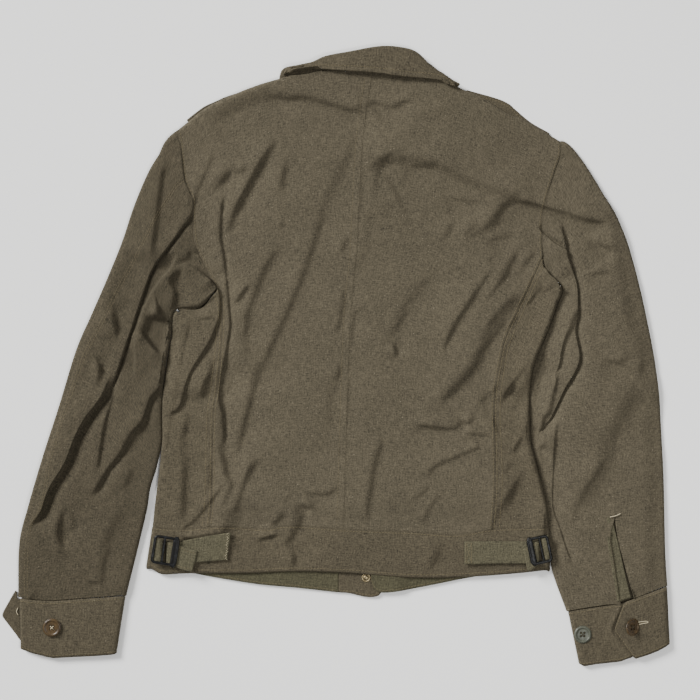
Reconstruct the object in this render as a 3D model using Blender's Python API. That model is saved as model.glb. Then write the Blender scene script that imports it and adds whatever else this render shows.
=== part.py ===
"""Waist-length wool field jacket, laid flat on its front with its back up.

Every table is in millimetres. The plan is seen from above: +X is the viewer's right,
+Y is towards the collar, Z is the height over the surface the jacket lies on.
A cloth piece is a grid of outer points and a grid of inner points, joined round the rim.
Neighbouring pieces read the same rail, so their edges run side by side at every seam.
"""

import math
from collections import namedtuple

import bmesh
import bpy
import numpy as np
from mathutils import Vector

MM = 0.001

# Driving sizes
WALL = 2.0              # wool serge with its lining
LAID_HEIGHT = 6.8       # two walls and the air between them, at rest
ROLL = LAID_HEIGHT / 2  # radius of a folded side edge
SEAM_GAP = 0.2          # each piece stops this short of its seam
SIDE_GAP = 0.45         # sleeve and body edges stand off their common line by this
BODY_LOFT = 1.8         # the back swells by this over its middle
SLEEVE_SWELL = 0.8      # power of the sine that a sleeve's upper face swells by
SHARP_ANGLE = 50.0      # edges sharper than this are not shaded smooth, degrees
LAYER_GAP = 0.3         # air between one layer and the next
RETURN = 7.0            # how far a folded edge runs on under the piece
SHORT_RETURN = 0.5      # the same where the underside carries on from there
FOLD_HALF = 2.5         # half width of the step of a deep sleeve fold
FOLD_SWELL = 20.0       # its ridge swells over this width, outside the step
FOLD_HOLLOW = 12.0      # and its hollow over this one, inside it
HOLLOW_SHARE = 0.25     # depth of the hollow for each millimetre of the ridge
LAYER_TWO = WALL + LAYER_GAP

# Numbers of cells
ARM_LEFT = 10           # along the armhole, down to the side panel
ARM_RIGHT = 8
SIDE_LEFT = 14          # along the side panel, down to the waist seam
SIDE_RIGHT = 16
ROWS_BODY = ARM_LEFT + SIDE_LEFT
LIP = 4                 # over the top of the side panel
SHOULDER = 8
NECK_HALF = 8
ROLL_STEPS = 4
OVER_STEPS = 3          # from a back down to the layer under it
CURVE_STEPS = 12        # of a smooth line between two of its points
ROWS_PER_SECTION = 2    # sleeve rows between two table rows

# Colours, linear
SERGE = (0.108, 0.089, 0.058)
SERGE_SHADE = (0.098, 0.083, 0.052)
SERGE_REVERSE = (0.145, 0.135, 0.080)
BUTTON_BROWN = (0.030, 0.020, 0.013)
BUTTON_GREY = (0.080, 0.082, 0.064)
BLACKED_STEEL = (0.012, 0.013, 0.016)
BRASS = (0.45, 0.36, 0.20)
CLOTH_ROUGHNESS = 0.85
FITTING_ROUGHNESS = 0.3

# Rails: lines in plan that two pieces share
ARMHOLE_LEFT = [(-177, 253), (-174, 235), (-170, 199), (-161, 174), (-160, 150),
                (-157, 123), (-146, 99), (-134, 74)]
ARMHOLE_RIGHT = [(250, 240), (249, 224), (241, 199), (234, 176), (230, 156),
                 (229, 136), (230, 111)]
CENTRE_SEAM = [(40, 320), (38, 304), (29, 234), (23, 119), (17, 58), (13, -26), (8, -193)]
SIDE_BACK_LEFT = [(-134, 74), (-128, 55), (-129, 12), (-137, -60), (-139, -156), (-142, -190)]
SIDE_BACK_RIGHT = [(230, 111), (217, 82), (203, 52), (189, 21), (183, -4), (176, -49),
                   (177, -133), (174, -193)]
SHOULDER_LEFT = [(-177, 253), (-166, 262), (-147, 277), (-121, 290), (-88, 303), (-57, 312)]
SHOULDER_RIGHT = [(135, 301), (146, 296), (160, 291), (192, 271), (206, 266), (235, 249),
                  (250, 240)]
NECK_LEFT = [(-57, 312), (-35, 314), (-18, 318), (1, 319), (40, 320)]
NECK_RIGHT = [(40, 320), (85, 315), (106, 312), (119, 308), (135, 301)]
WAIST_LEFT = [(-142, -190), (-127, -190), (-79, -193), (-54, -189), (8, -193)]
WAIST_RIGHT = [(8, -193), (82, -196), (135, -199), (174, -193)]
WAIST_SIDE_LEFT = [(-142, -190), (-176, -193), (-203, -189)]
WAIST_SIDE_RIGHT = [(174, -193), (234, -190)]
# The body's edges below the sleeves; above them they follow the sleeves' inner edges
BODY_EDGE_LEFT = [(-197, -119), (-200, -143), (-202, -166), (-203, -189)]
BODY_EDGE_RIGHT = [(232, -165), (234, -190)]

# One row for each section of a sleeve, from the armhole to the cuff. The first section is
# the armhole itself. "lip" is the height of the overhanging fold, "loft" of the whole sleeve.
Section = namedtuple("Section", "outer elbow fold inner lip loft")
SLEEVE_LEFT = [
    Section((-198, 226), (-185, 180), (-178, 132), (-152, 55), 1.6, 0.6),
    Section((-212, 202), (-200, 157), (-192, 114), (-180, 51), 2.8, 0.9),
    Section((-227, 166), (-212, 133), (-206, 96), (-185, 22), 3.6, 1.1),
    Section((-240, 127), (-226, 106), (-214, 73), (-190, -8), 4.0, 1.2),
    Section((-257, 85), (-242, 77), (-227, 39), (-194, -40), 4.0, 1.3),
    Section((-274, 46), (-260, 40), (-236, 7), (-195, -70), 3.6, 1.3),
    Section((-291, 7), (-280, 3), (-247, -25), (-195, -95), 3.4, 1.2),
    Section((-310, -55), (-301, -56), (-272, -52), (-201, -125), 3.2, 1.2),
    Section((-328, -111), (-319, -113), (-299, -105), (-208, -148), 2.6, 1.1),
    Section((-344, -166), (-335, -168), (-321, -150), (-212, -173), 1.8, 1.0),
    Section((-354.5, -208), (-345, -210), (-326, -198), (-221, -211), 0.8, 0.6),
    Section((-356, -269), (-347, -272), (-318, -273), (-235, -268), 0.0, 0.0),
]
SLEEVE_RIGHT = [
    Section((300, 178), (269, 148), (251, 120), (235, 93), 1.2, 0.8),
    Section((320, 141), (284, 116), (266, 96), (252, 77), 2.6, 1.2),
    Section((332, 105), (297, 84), (271, 70), (246, 56), 3.6, 1.4),
    Section((342, 65), (305, 49), (270, 40), (237, 30), 4.0, 1.5),
    Section((350, 27), (310, 16), (269, 10), (222, -6), 4.0, 1.5),
    Section((353, 12), (311, -1), (267, -4), (217, -32), 3.8, 1.5),
    Section((357, -12), (312, -20), (262, -24), (216, -56), 3.4, 1.5),
    Section((361, -44), (313, -49), (250, -48), (216, -77), 2.2, 1.4),
    Section((363, -77), (313, -83), (242, -77), (218, -100), 1.0, 1.3),
    Section((366, -139), (311, -142), (245, -137), (228, -138), 0.3, 1.1),
    Section((367, -190), (312, -192), (255, -188), (236, -182), 0.0, 0.7),
    Section((368, -226), (318, -233), (268, -236), (240, -235), 0.0, 0.4),
    Section((370, -257), (324, -274), (285, -280), (257, -284.5), 0.0, 0.0),
]
# Columns of a sleeve on which its elbow seam and its deep fold lie, the last one, and
# those that its underside has; the last of these is the front seam
CROWN_LEFT = (-190, 242)       # the outer edge passes here on its way from the armhole
CROWN_RIGHT = (267, 229)
SleeveColumns = namedtuple("SleeveColumns", "elbow fold last under")
COLUMNS_LEFT = SleeveColumns(3, 6, ARM_LEFT, (0, 2, 5, 8, 9))
COLUMNS_RIGHT = SleeveColumns(3, 5, ARM_RIGHT, (0, 2, 5, 7))
# Opening above the right cuff: how far each side stands off the elbow seam at the cuff
SLIT_START = 0.76
SLIT_UNDER = 2.0
SLIT_UPPER = 9.0

# Folds of the body: a ridge (+) or trough (-) along a line, soft at its ends
Fold = namedtuple("Fold", "path height width")
BODY_FOLDS = [
    Fold([(-66, 242), (-90, 190), (-112, 168)], -1.5, 11),
    Fold([(-78, 246), (-104, 196), (-118, 140), (-120, 60), (-125, 0), (-132, -60)], 2.4, 12),
    Fold([(-125, 170), (-129, 130), (-123, 90)], -1.4, 8),
    Fold([(7, 214), (-12, 158), (-32, 102), (-63, 32), (-86, -32), (-105, -94)], 1.9, 15),
    Fold([(-55, 152), (-86, 88), (-102, 40)], 1.5, 14),
    Fold([(66, 226), (50, 205), (46, 180), (32, 130)], -1.3, 12),
    Fold([(57, 211), (99, 214), (141, 197), (183, 194), (205, 180)], -1.9, 13),
    Fold([(172, 93), (150, 57), (127, 26), (120, 4)], -1.7, 10),
    Fold([(208, 116), (186, 88), (169, 68)], 1.3, 10),
    Fold([(228, 60), (206, 60), (172, 18), (141, -32)], -2.0, 14),
    Fold([(196, 40), (170, -6), (150, -40)], 1.8, 13),
    Fold([(82, 85), (68, 32), (65, 10)], 1.2, 12),
    Fold([(88, -78), (127, -82), (150, -88), (180, -90)], -1.3, 9),
    Fold([(158, -104), (122, -119), (108, -128), (102, -139)], -1.3, 9),
    Fold([(52, -74), (43, -122), (36, -184)], -1.1, 10),
    Fold([(217, -10), (183, -41)], -1.5, 10),
    Fold([(211, -74), (194, -111), (178, -178)], -1.4, 11),
    Fold([(-88, -116), (-102, -144), (-117, -172)], -1.3, 10),
    Fold([(-128, -100), (-122, -122), (-128, -147), (-142, -161), (-158, -183)], 1.3, 11),
    Fold([(-139, 12), (-161, -18), (-175, -60)], -1.4, 11),
    Fold([(-74, 293), (-41, 288), (-13, 281), (15, 271)], -1.0, 9),
]
FOLD_END = 22.0         # a fold dies out over this length
HEM_FADE = 26.0         # folds flatten towards the waist seam and the collar
LOFT_LEFT = -134.0      # the back swells between these lines, over this run
LOFT_RIGHT = 212.0
LOFT_RUN = 50.0
FLAT_TOP = 292.0
FLAT_BOTTOM = -188.0

# Fronts, under the back; the left one lies lowest
FRONT_TOP_LEFT = [(-171, 216), (-150, 236), (-116, 255), (-84, 266), (-66, 290), (-60, 314),
                  (-42, 321), (-10, 329), (30, 337)]
FRONT_TOP_RIGHT = [(30, 337), (66, 339), (100, 324), (122, 298), (128, 256), (165, 246),
                   (190, 234), (222, 213), (244, 207)]
FRONT_EDGE_LEFT = [(30, 337), (40, 240), (46, 0), (46, -199)]
FRONT_EDGE_RIGHT = [(30, 337), (22, 240), (20, 0), (20, -199)]
FRONT_HEM = -199.0
FRONT_COLUMNS = 5
FRONT_STEP = (70.0, 100.0)      # between these the right front climbs over the left one
BAND_STEP = (68.0, 84.0)        # and the right waistband over the left one

# Collar, one row for each point of the neck line: roll edge and fall edge
COLLAR_ROLL = [(-59, 315), (-55, 322), (-44, 324.5), (-27, 328.5), (-12, 335), (14, 340),
               (49, 346), (74, 344.5), (90, 339), (106, 323.5), (120, 315), (137, 303)]
COLLAR_FALL = [(-50, 318), (-32, 321), (-16, 320), (10, 318), (40, 316), (71, 312),
               (99, 309.5), (119, 307), (134, 302)]
COLLAR_WALL = 1.8
FALL_LIFT = 0.5         # air between the fall and the back it lies on
FALL_MIN = 5.0          # the fall is no shorter than this
STAND_MIN = 1.0         # nor the stand than this

# Waistband
WAIST_SEAM = [(-206, -191), (-176, -193), (-127, -190), (-79, -193), (-54, -189), (8, -193),
              (82, -196), (135, -199), (174, -193), (235, -191)]
WAIST_EDGE = [(-213, -237), (-197, -244), (-164, -243), (-102, -243), (-44, -241), (15, -243),
              (82, -248), (145, -247), (190, -244), (236.5, -239.5)]
BAND_COLUMNS = 24
BAND_ROWS = 3
FRONT_BAND_TOP = -200.0
FRONT_BAND_START = -191.5
FRONT_BAND_LEFT = [(-201.5, -235), (-158, -243), (-125, -249), (-86, -255), (-43, -259), (2, -264)]
FRONT_BAND_TAB = [(2.6, -264), (15, -265), (33, -269), (46, -268), (52, -261)]
FRONT_BAND_RIGHT = [(39, -252), (43, -261), (52, -264), (73, -262), (105, -256), (145, -248),
                    (190, -240), (223.5, -232)]

# Shoulder straps, flat under the shoulder edge: the line that shows past it
STRAP_WIDTH = 26.0
STRAP_LEFT = [(-94, 299), (-121, 290.5), (-136, 284), (-147, 279), (-157, 272), (-167, 264)]
STRAP_RIGHT = [(146, 297), (178, 288), (192, 282), (199, 276), (217, 261), (238, 249)]

# Cuffs: stations from the tab's point round the wrist to the hidden end.
# seam and edge are the band's two sides in plan, z is the middle of the cloth.
CuffStation = namedtuple("CuffStation", "seam edge z")
CUFF_WALL = 2.0
LOW = CUFF_WALL / 2
MID = LOW + CUFF_WALL + LAYER_GAP
HIGH = MID + CUFF_WALL + LAYER_GAP
CUFF_LEFT = [
    CuffStation((-373.4, -287.5), (-373.4, -292), LOW),
    CuffStation((-358.5, -261), (-358, -312), LOW),
    CuffStation((-357, -273.3), (-356, -315.5), LOW),
    CuffStation((-344, -273.5), (-343, -327), LOW),
    CuffStation((-300, -273.5), (-300, -334), LOW),
    CuffStation((-262, -271), (-266, -333), LOW),
    CuffStation((-241, -269.4), (-250, -331.5), LOW),
    CuffStation((-237.5, -269), (-247.2, -331.6), (LOW + HIGH) / 2 - 1.6),
    CuffStation((-236, -268.9), (-246.2, -332), (LOW + HIGH) / 2),
    CuffStation((-237.5, -268.9), (-247.2, -332.4), (LOW + HIGH) / 2 + 1.6),
    CuffStation((-241, -269), (-250, -333), HIGH),
    CuffStation((-268, -270.8), (-270, -334.5), HIGH),
    CuffStation((-292, -272.4), (-292, -335.5), HIGH),
    CuffStation((-316, -274.3), (-317, -337), HIGH),
    CuffStation((-340, -273.2), (-338, -332), HIGH),
    CuffStation((-351.5, -271.4), (-350.5, -327.5), HIGH),
    CuffStation((-353.4, -271.3), (-352.4, -327), HIGH - 0.45),
    CuffStation((-354, -271.3), (-353, -326.8), (HIGH + MID) / 2),
    CuffStation((-353.4, -271.5), (-352.4, -326.6), MID + 0.45),
    CuffStation((-351.5, -271.8), (-350.5, -326), MID),
    CuffStation((-330, -274.5), (-330, -327), MID),
]
CUFF_RIGHT = [
    CuffStation((311, -303), (311, -308), HIGH),
    CuffStation((321, -275.8), (333, -338), HIGH),
    CuffStation((338, -269.6), (346, -334), HIGH),
    CuffStation((354, -263.7), (359, -329), HIGH),
    CuffStation((364, -260), (368, -324), HIGH),
    CuffStation((368.2, -258.7), (371.2, -322), (LOW + HIGH) / 2 + 1.6),
    CuffStation((369.6, -258.3), (372.4, -321), (LOW + HIGH) / 2),
    CuffStation((368.2, -258.9), (371.2, -320.4), (LOW + HIGH) / 2 - 1.6),
    CuffStation((364, -260.6), (368, -322), LOW),
    CuffStation((340, -269.6), (344, -331), LOW),
    CuffStation((312, -277.8), (316, -338), LOW),
    CuffStation((285, -281.2), (290, -341), LOW),
    CuffStation((262, -285.3), (274, -343), LOW),
    CuffStation((259.9, -285.7), (271.8, -343.4), LOW + 0.45),
    CuffStation((259.3, -285.8), (271.2, -343.6), (LOW + MID) / 2),
    CuffStation((259.9, -285.7), (271.8, -343.8), MID - 0.45),
    CuffStation((262, -285.3), (276, -346.3), MID),
    CuffStation((292, -280.3), (290, -344), MID),
    CuffStation((318, -277), (318, -341), MID),
    CuffStation((334, -272), (334, -334), MID),
]
CUFF_COLUMNS = 4

# Facing behind the opening above the right cuff
PLACKET_TOP = [(298, -176), (322, -176)]
PLACKET_LOW = [(304, -268), (344, -260)]
PLACKET_WALL = 1.6
PLACKET_CELLS = (2, 5)

# Waist straps: stations of the strap from its sewn end, round in the buckle, to its free end
StrapStation = namedtuple("StrapStation", "top bottom z")
STRAP_WALL = 1.4
ON_BAND = LAYER_GAP + STRAP_WALL / 2
ON_STRAP = ON_BAND + STRAP_WALL + LAYER_GAP
WAIST_STRAP_LEFT = [
    StrapStation((-118, -197), (-122, -227), ON_BAND),
    StrapStation((-145, -201), (-148, -229), ON_BAND),
    StrapStation((-175, -207), (-177, -232), ON_BAND),
    StrapStation((-189, -207), (-189, -232.5), ON_BAND),
    StrapStation((-190.6, -207), (-190.6, -232.5), (ON_BAND + ON_STRAP) / 2),
    StrapStation((-189, -207), (-189, -232.5), ON_STRAP),
    StrapStation((-178, -209), (-180, -234), ON_STRAP),
    StrapStation((-166, -215), (-171, -238), ON_STRAP),
    StrapStation((-155, -217.5), (-161, -240), ON_STRAP),
]
WAIST_STRAP_RIGHT = [
    StrapStation((143, -207), (143, -232), ON_BAND),
    StrapStation((180, -207), (180, -231), ON_BAND),
    StrapStation((210, -207), (210, -231), ON_BAND),
    StrapStation((225, -206), (225, -232), ON_BAND),
    StrapStation((226.6, -206), (226.6, -232), (ON_BAND + ON_STRAP) / 2),
    StrapStation((225, -206), (225, -232), ON_STRAP),
    StrapStation((217, -210), (219, -237), ON_STRAP),
    StrapStation((208, -215), (213, -239), ON_STRAP),
]
STRAP_COLUMNS = 2
SIDE_LOOP_LEFT = [(-206, -203), (-194, -204), (-194, -230), (-208, -228)]
SIDE_LOOP_RIGHT = [(229.5, -204), (233, -203), (233, -229), (229.5, -230)]

# Buckles: flat frames with two windows
Buckle = namedtuple("Buckle", "centre turn width height")
BUCKLE_LEFT = Buckle((-190.5, -216.5), -9.0, 29.0, 32.0)
BUCKLE_RIGHT = Buckle((226, -216), 12.0, 22.0, 31.0)
BUCKLE_BAR = 3.0
BUCKLE_BAR_AT = -1.0    # the middle bar stands off the frame's middle
BUCKLE_EDGE = 0.5
BUCKLE_WALL = 1.8
BUCKLE_LIFT = ON_STRAP + STRAP_WALL / 2 + LAYER_GAP

# Buttons: rim radius, thickness and seat height over the floor
Button = namedtuple("Button", "centre radius height seat")
CUFF_TOP = HIGH + CUFF_WALL / 2
UNDERLAP_TOP = MID + CUFF_WALL / 2
BUTTON_LEFT = Button((-317.5, -303), 10.0, 3.6, CUFF_TOP)
BUTTON_RIGHT = Button((330, -302), 9.6, 3.6, CUFF_TOP)
BUTTON_SPARE = Button((275, -311), 9.6, 3.6, UNDERLAP_TOP)
SNAP = Button((33, -248), 5.2, 2.2, WALL)
BUTTON_SIDES = 20
# Half section from the middle of the back over the rim to the middle of the dished face,
# as shares of the radius and the thickness
BUTTON_PROFILE = [(0.0, 0.0), (0.72, 0.0), (0.95, 0.3), (1.0, 0.62), (0.92, 0.95), (0.8, 1.0),
                  (0.66, 0.8), (0.4, 0.66), (0.0, 0.62)]

# Points well inside a piece, from which its edges are told inside from outside
BODY_MIDDLE = np.array([30.0, 0.0])
WAIST_MIDDLE = np.array([0.0, -215.0])


def smooth(points, count):
    """Even steps along a smooth curve through the points, as count + 1 points in plan."""
    pts = np.array(points, dtype=float)
    if len(pts) == 2:
        fine = pts
    else:
        ends = np.vstack([2 * pts[0] - pts[1], pts, 2 * pts[-1] - pts[-2]])
        fine = [pts[0]]
        for i in range(len(pts) - 1):
            for s in np.linspace(0.0, 1.0, CURVE_STEPS + 1)[1:]:
                fine.append(spline(*ends[i:i + 4], s))
        fine = np.array(fine)
    length = np.concatenate([[0.0], np.cumsum(np.linalg.norm(np.diff(fine, axis=0), axis=1))])
    steps = np.linspace(0.0, length[-1], count + 1)
    return np.column_stack([np.interp(steps, length, fine[:, k]) for k in range(fine.shape[1])])


def spline(p0, p1, p2, p3, s):
    """Point at s on the curved stretch from p1 to p2."""
    return 0.5 * (2 * p1 + (p2 - p0) * s + (2 * p0 - 5 * p1 + 4 * p2 - p3) * s ** 2
                  + (3 * p1 - p0 - 3 * p2 + p3) * s ** 3)


def join(*rails):
    """Rails end to end, without the doubled points."""
    parts = [rails[0]]
    for rail in rails[1:]:
        parts.append(rail[1:])
    return np.vstack(parts)


def patch(top, bottom, left, right):
    """Plan grid between four rails: rows run from top to bottom, columns from left to right."""
    rows = len(left)
    cols = len(top)
    u = np.linspace(0.0, 1.0, cols)[None, :, None]
    v = np.linspace(0.0, 1.0, rows)[:, None, None]
    across = (1 - u) * left[:, None] + u * right[:, None]
    down = (1 - v) * top[None] + v * bottom[None]
    corners = ((1 - u) * (1 - v) * top[0] + u * (1 - v) * top[-1]
               + (1 - u) * v * bottom[0] + u * v * bottom[-1])
    return across + down - corners


def between(top, low, across, down):
    """Plan grid between two lines, with straight sides."""
    top = smooth(top, across)
    low = smooth(low, across)
    return patch(top, low, smooth([top[0], low[0]], down), smooth([top[-1], low[-1]], down))


def side_normals(rail, inside):
    """Unit vectors in plan that point out of a rail, away from the points inside."""
    along = np.gradient(rail, axis=0)
    along /= np.linalg.norm(along, axis=1)[:, None]
    out = np.column_stack([along[:, 1], -along[:, 0]])
    if np.sum(out * (rail - inside)) < 0:
        out = -out
    return out


def pull_in(grid, sides, gap=SEAM_GAP):
    """Plan grid with the named sides drawn back from their seams."""
    out = grid.copy()
    moves = {"left": (np.s_[:, 0], np.s_[:, 1]), "right": (np.s_[:, -1], np.s_[:, -2]),
             "top": (np.s_[0], np.s_[1]), "bottom": (np.s_[-1], np.s_[-2])}
    for side in sides:
        edge, inner = moves[side]
        step = grid[inner] - grid[edge]
        step = step / np.linalg.norm(step, axis=-1, keepdims=True)
        out[edge] = out[edge] + step * gap
    return out


def distance_to(path, points):
    """Distance from points to a path, and how far along it each lies, both in millimetres."""
    best = np.full(points.shape[:-1], np.inf)
    along = np.zeros(points.shape[:-1])
    run = 0.0
    for a, b in zip(path[:-1], path[1:]):
        step = b - a
        length = np.linalg.norm(step)
        s = np.clip(((points - a) @ step) / length ** 2, 0.0, 1.0)
        gap = np.linalg.norm(points - a - s[..., None] * step, axis=-1)
        nearer = gap < best
        best = np.where(nearer, gap, best)
        along = np.where(nearer, run + s * length, along)
        run += length
    return best, along, run


def ease(x):
    """Smooth step from 0 to 1."""
    x = np.clip(x, 0.0, 1.0)
    return x * x * (3 - 2 * x)


def body_height(plan):
    """Height of the back's outer face over the floor at points in plan."""
    rise = np.zeros(plan.shape[:-1])
    for fold in BODY_FOLDS:
        path = smooth(fold.path, CURVE_STEPS)
        gap, along, length = distance_to(path, plan)
        ends = ease(along / FOLD_END) * ease((length - along) / FOLD_END)
        rise += fold.height * ends * np.exp(-(gap / fold.width) ** 2)
    x = plan[..., 0]
    y = plan[..., 1]
    rise += BODY_LOFT * ease((x - LOFT_LEFT) / LOFT_RUN) * ease((LOFT_RIGHT - x) / LOFT_RUN)
    calm = ease((y - FLAT_BOTTOM) / HEM_FADE) * ease((FLAT_TOP - y) / HEM_FADE)
    return LAID_HEIGHT + rise * calm


def lay(plan, height, wall=WALL):
    """Outer and inner points of a cloth wall whose outer face is at the given height."""
    height = np.broadcast_to(height, plan.shape[:-1])
    outer = np.concatenate([plan, height[..., None]], axis=-1)
    inner = np.concatenate([plan, height[..., None] - wall], axis=-1)
    return outer, inner


def roll_under(edge, out, height, wall=WALL, run=RETURN):
    """Columns that carry a folded edge round and on under the piece, to the floor side.

    The section is half an ellipse as high as the piece, then a flat return on the floor.
    """
    outer = []
    inner = []
    half = height / 2
    for step in range(1, ROLL_STEPS + 1):
        turn = math.pi * step / ROLL_STEPS
        reach = math.sin(turn)
        drop = math.cos(turn)
        outer.append(np.column_stack([edge + out * ROLL * reach, half + half * drop]))
        inner.append(np.column_stack([edge + out * (ROLL - wall) * reach,
                                      half + (half - wall) * drop]))
    back = edge - out * run
    outer.append(np.column_stack([back, np.zeros(len(back))]))
    inner.append(np.column_stack([back, np.full(len(back), wall)]))
    return np.stack(outer, axis=1), np.stack(inner, axis=1)


def roll_over(edge, out, height, share, floor=LAYER_TWO, wall=WALL):
    """Rows that carry an edge down to the layer under it; share 0 keeps it flat."""
    outer = []
    inner = []
    drop = height - floor
    for step in range(1, OVER_STEPS + 1):
        flat = step / OVER_STEPS
        turn = 0.5 * math.pi * flat
        for target, radius, top, fall in ((outer, ROLL, height, drop),
                                          (inner, ROLL - wall, height - wall, drop - wall)):
            reach = share * radius * math.sin(turn) + (1 - share) * ROLL * flat
            z = top - share * fall * (1 - math.cos(turn))
            target.append(np.column_stack([edge + out * reach[:, None], z]))
    return np.stack(outer), np.stack(inner)


def offset(middle, wall):
    """Outer and inner points half a wall each side of a middle surface."""
    down = np.gradient(middle, axis=0)
    across = np.gradient(middle, axis=1)
    normal = np.cross(down, across)
    normal /= np.linalg.norm(normal, axis=-1, keepdims=True)
    return middle + normal * wall / 2, middle - normal * wall / 2


def material_for(name, colour, roughness, metallic):
    """One Principled material for one piece."""
    material = bpy.data.materials.new(name)
    material.use_nodes = True
    shader = material.node_tree.nodes["Principled BSDF"]
    shader.inputs["Base Color"].default_value = (*colour, 1.0)
    shader.inputs["Roughness"].default_value = roughness
    shader.inputs["Metallic"].default_value = metallic
    return material


def add_object(name, vertices, faces, colour, roughness=CLOTH_ROUGHNESS, metallic=0.0):
    """One closed mesh object, its points given in millimetres."""
    mesh = bpy.data.meshes.new(name)
    mesh.from_pydata([tuple(Vector(v) * MM) for v in vertices], [], faces)
    work = bmesh.new()
    work.from_mesh(mesh)
    bmesh.ops.recalc_face_normals(work, faces=work.faces)
    work.to_mesh(mesh)
    work.free()
    mesh.shade_smooth()
    mesh.set_sharp_from_angle(angle=math.radians(SHARP_ANGLE))
    item = bpy.data.objects.new(name, mesh)
    bpy.context.scene.collection.objects.link(item)
    mesh.materials.append(material_for(name, colour, roughness, metallic))
    return item


def add_wall(name, outer, inner, colour=SERGE):
    """Closed cloth wall: two grids of points, joined round the rim."""
    rows, cols = outer.shape[:2]
    count = rows * cols
    vertices = np.concatenate([outer.reshape(-1, 3), inner.reshape(-1, 3)])
    faces = []

    def at(i, j):
        return i * cols + j

    for i in range(rows - 1):
        for j in range(cols - 1):
            quad = (at(i, j), at(i, j + 1), at(i + 1, j + 1), at(i + 1, j))
            faces.append(quad)
            faces.append(tuple(k + count for k in reversed(quad)))
    rim = [at(0, j) for j in range(cols)]
    rim += [at(i, cols - 1) for i in range(1, rows)]
    rim += [at(rows - 1, j) for j in range(cols - 2, -1, -1)]
    rim += [at(i, 0) for i in range(rows - 2, 0, -1)]
    for a, b in zip(rim, rim[1:] + rim[:1]):
        faces.append((b, a, a + count, b + count))
    return add_object(name, vertices, faces, colour)


def share_along(count, rolled):
    """1 on the rolled points of a top row, 0 on the rest."""
    share = np.zeros(count)
    share[rolled] = 1.0
    return share


def build_backs(rails):
    """Both halves of the back, folded down over the shoulder edge."""
    tip_left = rails["tip_left"]
    tip_right = rails["tip_right"]
    sides = {
        "back_left": (join(smooth(SHOULDER_LEFT, SHOULDER), smooth(NECK_LEFT, NECK_HALF)),
                      smooth(WAIST_LEFT, SHOULDER + NECK_HALF),
                      join(rails["arm_left"], rails["side_back_left"]),
                      rails["centre"], slice(0, SHOULDER), 0, tip_left),
        "back_right": (join(smooth(NECK_RIGHT, NECK_HALF), smooth(SHOULDER_RIGHT, SHOULDER)),
                       smooth(WAIST_RIGHT, SHOULDER + NECK_HALF),
                       rails["centre"],
                       join(rails["arm_right"], rails["side_back_right"]),
                       slice(NECK_HALF + 1, None), -1, tip_right),
    }
    for name, (top, bottom, left, right, rolled, tip, tip_out) in sides.items():
        out = side_normals(top, BODY_MIDDLE)
        out[tip] = tip_out
        out[-1 - tip] = (0.0, 1.0)
        top_in = top - out * ROLL
        left = left.copy()
        right = right.copy()
        left[0] = top_in[0]
        right[0] = top_in[-1]
        grid = pull_in(patch(top_in, bottom, left, right), ("left", "right", "bottom"))
        height = body_height(grid)
        outer, inner = lay(grid, height)
        share = share_along(len(top), rolled)
        edge = grid[0]
        over_outer, over_inner = roll_over(edge, out, height[0], share)
        neck = share < 0.5
        over_outer[-1][neck, :2] -= out[neck] * SEAM_GAP
        over_inner[-1][neck, :2] -= out[neck] * SEAM_GAP
        add_wall(name, np.concatenate([over_outer[::-1], outer]),
                 np.concatenate([over_inner[::-1], inner]))


def sleeve_grid(arm, sections, columns, crown):
    """Plan grid and height of a sleeve's upper face; column 0 is its outer edge."""
    last = columns.last
    table = [arm]
    for section in sections:
        outer, elbow, fold, inner = (np.array(p, dtype=float) for p in section[:4])
        side = (elbow - inner) / np.linalg.norm(elbow - inner)
        keys = [(0, outer), (columns.elbow, elbow), (columns.fold, fold + side * FOLD_HALF),
                (columns.fold + 1, fold - side * FOLD_HALF), (last, inner)]
        row = np.empty((last + 1, 2))
        for (a, pa), (b, pb) in zip(keys[:-1], keys[1:]):
            for j in range(a, b + 1):
                row[j] = pa + (pb - pa) * (j - a) / (b - a)
        table.append(row)
    table = np.array(table)
    lips = np.array([0.0] + [s.lip for s in sections])
    lofts = np.array([0.0] + [s.loft for s in sections])
    count = (len(table) - 1) * ROWS_PER_SECTION
    ends = np.concatenate([[2 * table[0] - table[1]], table, [2 * table[-1] - table[-2]]])
    grid = []
    for k in range(count + 1):
        i = min(k // ROWS_PER_SECTION, len(table) - 2)
        s = k / ROWS_PER_SECTION - i
        grid.append(spline(*ends[i:i + 4], s))
    grid = np.array(grid)
    u = np.arange(last + 1)[None, :] / last
    grid[1] += (np.array(crown) - grid[1, 0]) * (1 - u[0, :, None]) ** 2
    index = np.arange(count + 1) / ROWS_PER_SECTION
    lip = np.interp(index, np.arange(len(lips)), lips)[:, None]
    loft = np.interp(index, np.arange(len(lofts)), lofts)[:, None]
    fold_point = grid[:, columns.fold]
    gap = np.linalg.norm(grid - fold_point[:, None], axis=-1)
    high = np.arange(last + 1) <= columns.fold
    rise = np.where(high[None], lip * np.exp(-(gap / FOLD_SWELL) ** 2),
                    -HOLLOW_SHARE * lip * np.exp(-(gap / FOLD_HOLLOW) ** 2))
    height = LAID_HEIGHT + loft * np.sin(math.pi * u) ** SLEEVE_SWELL + rise
    return grid, height


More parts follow.
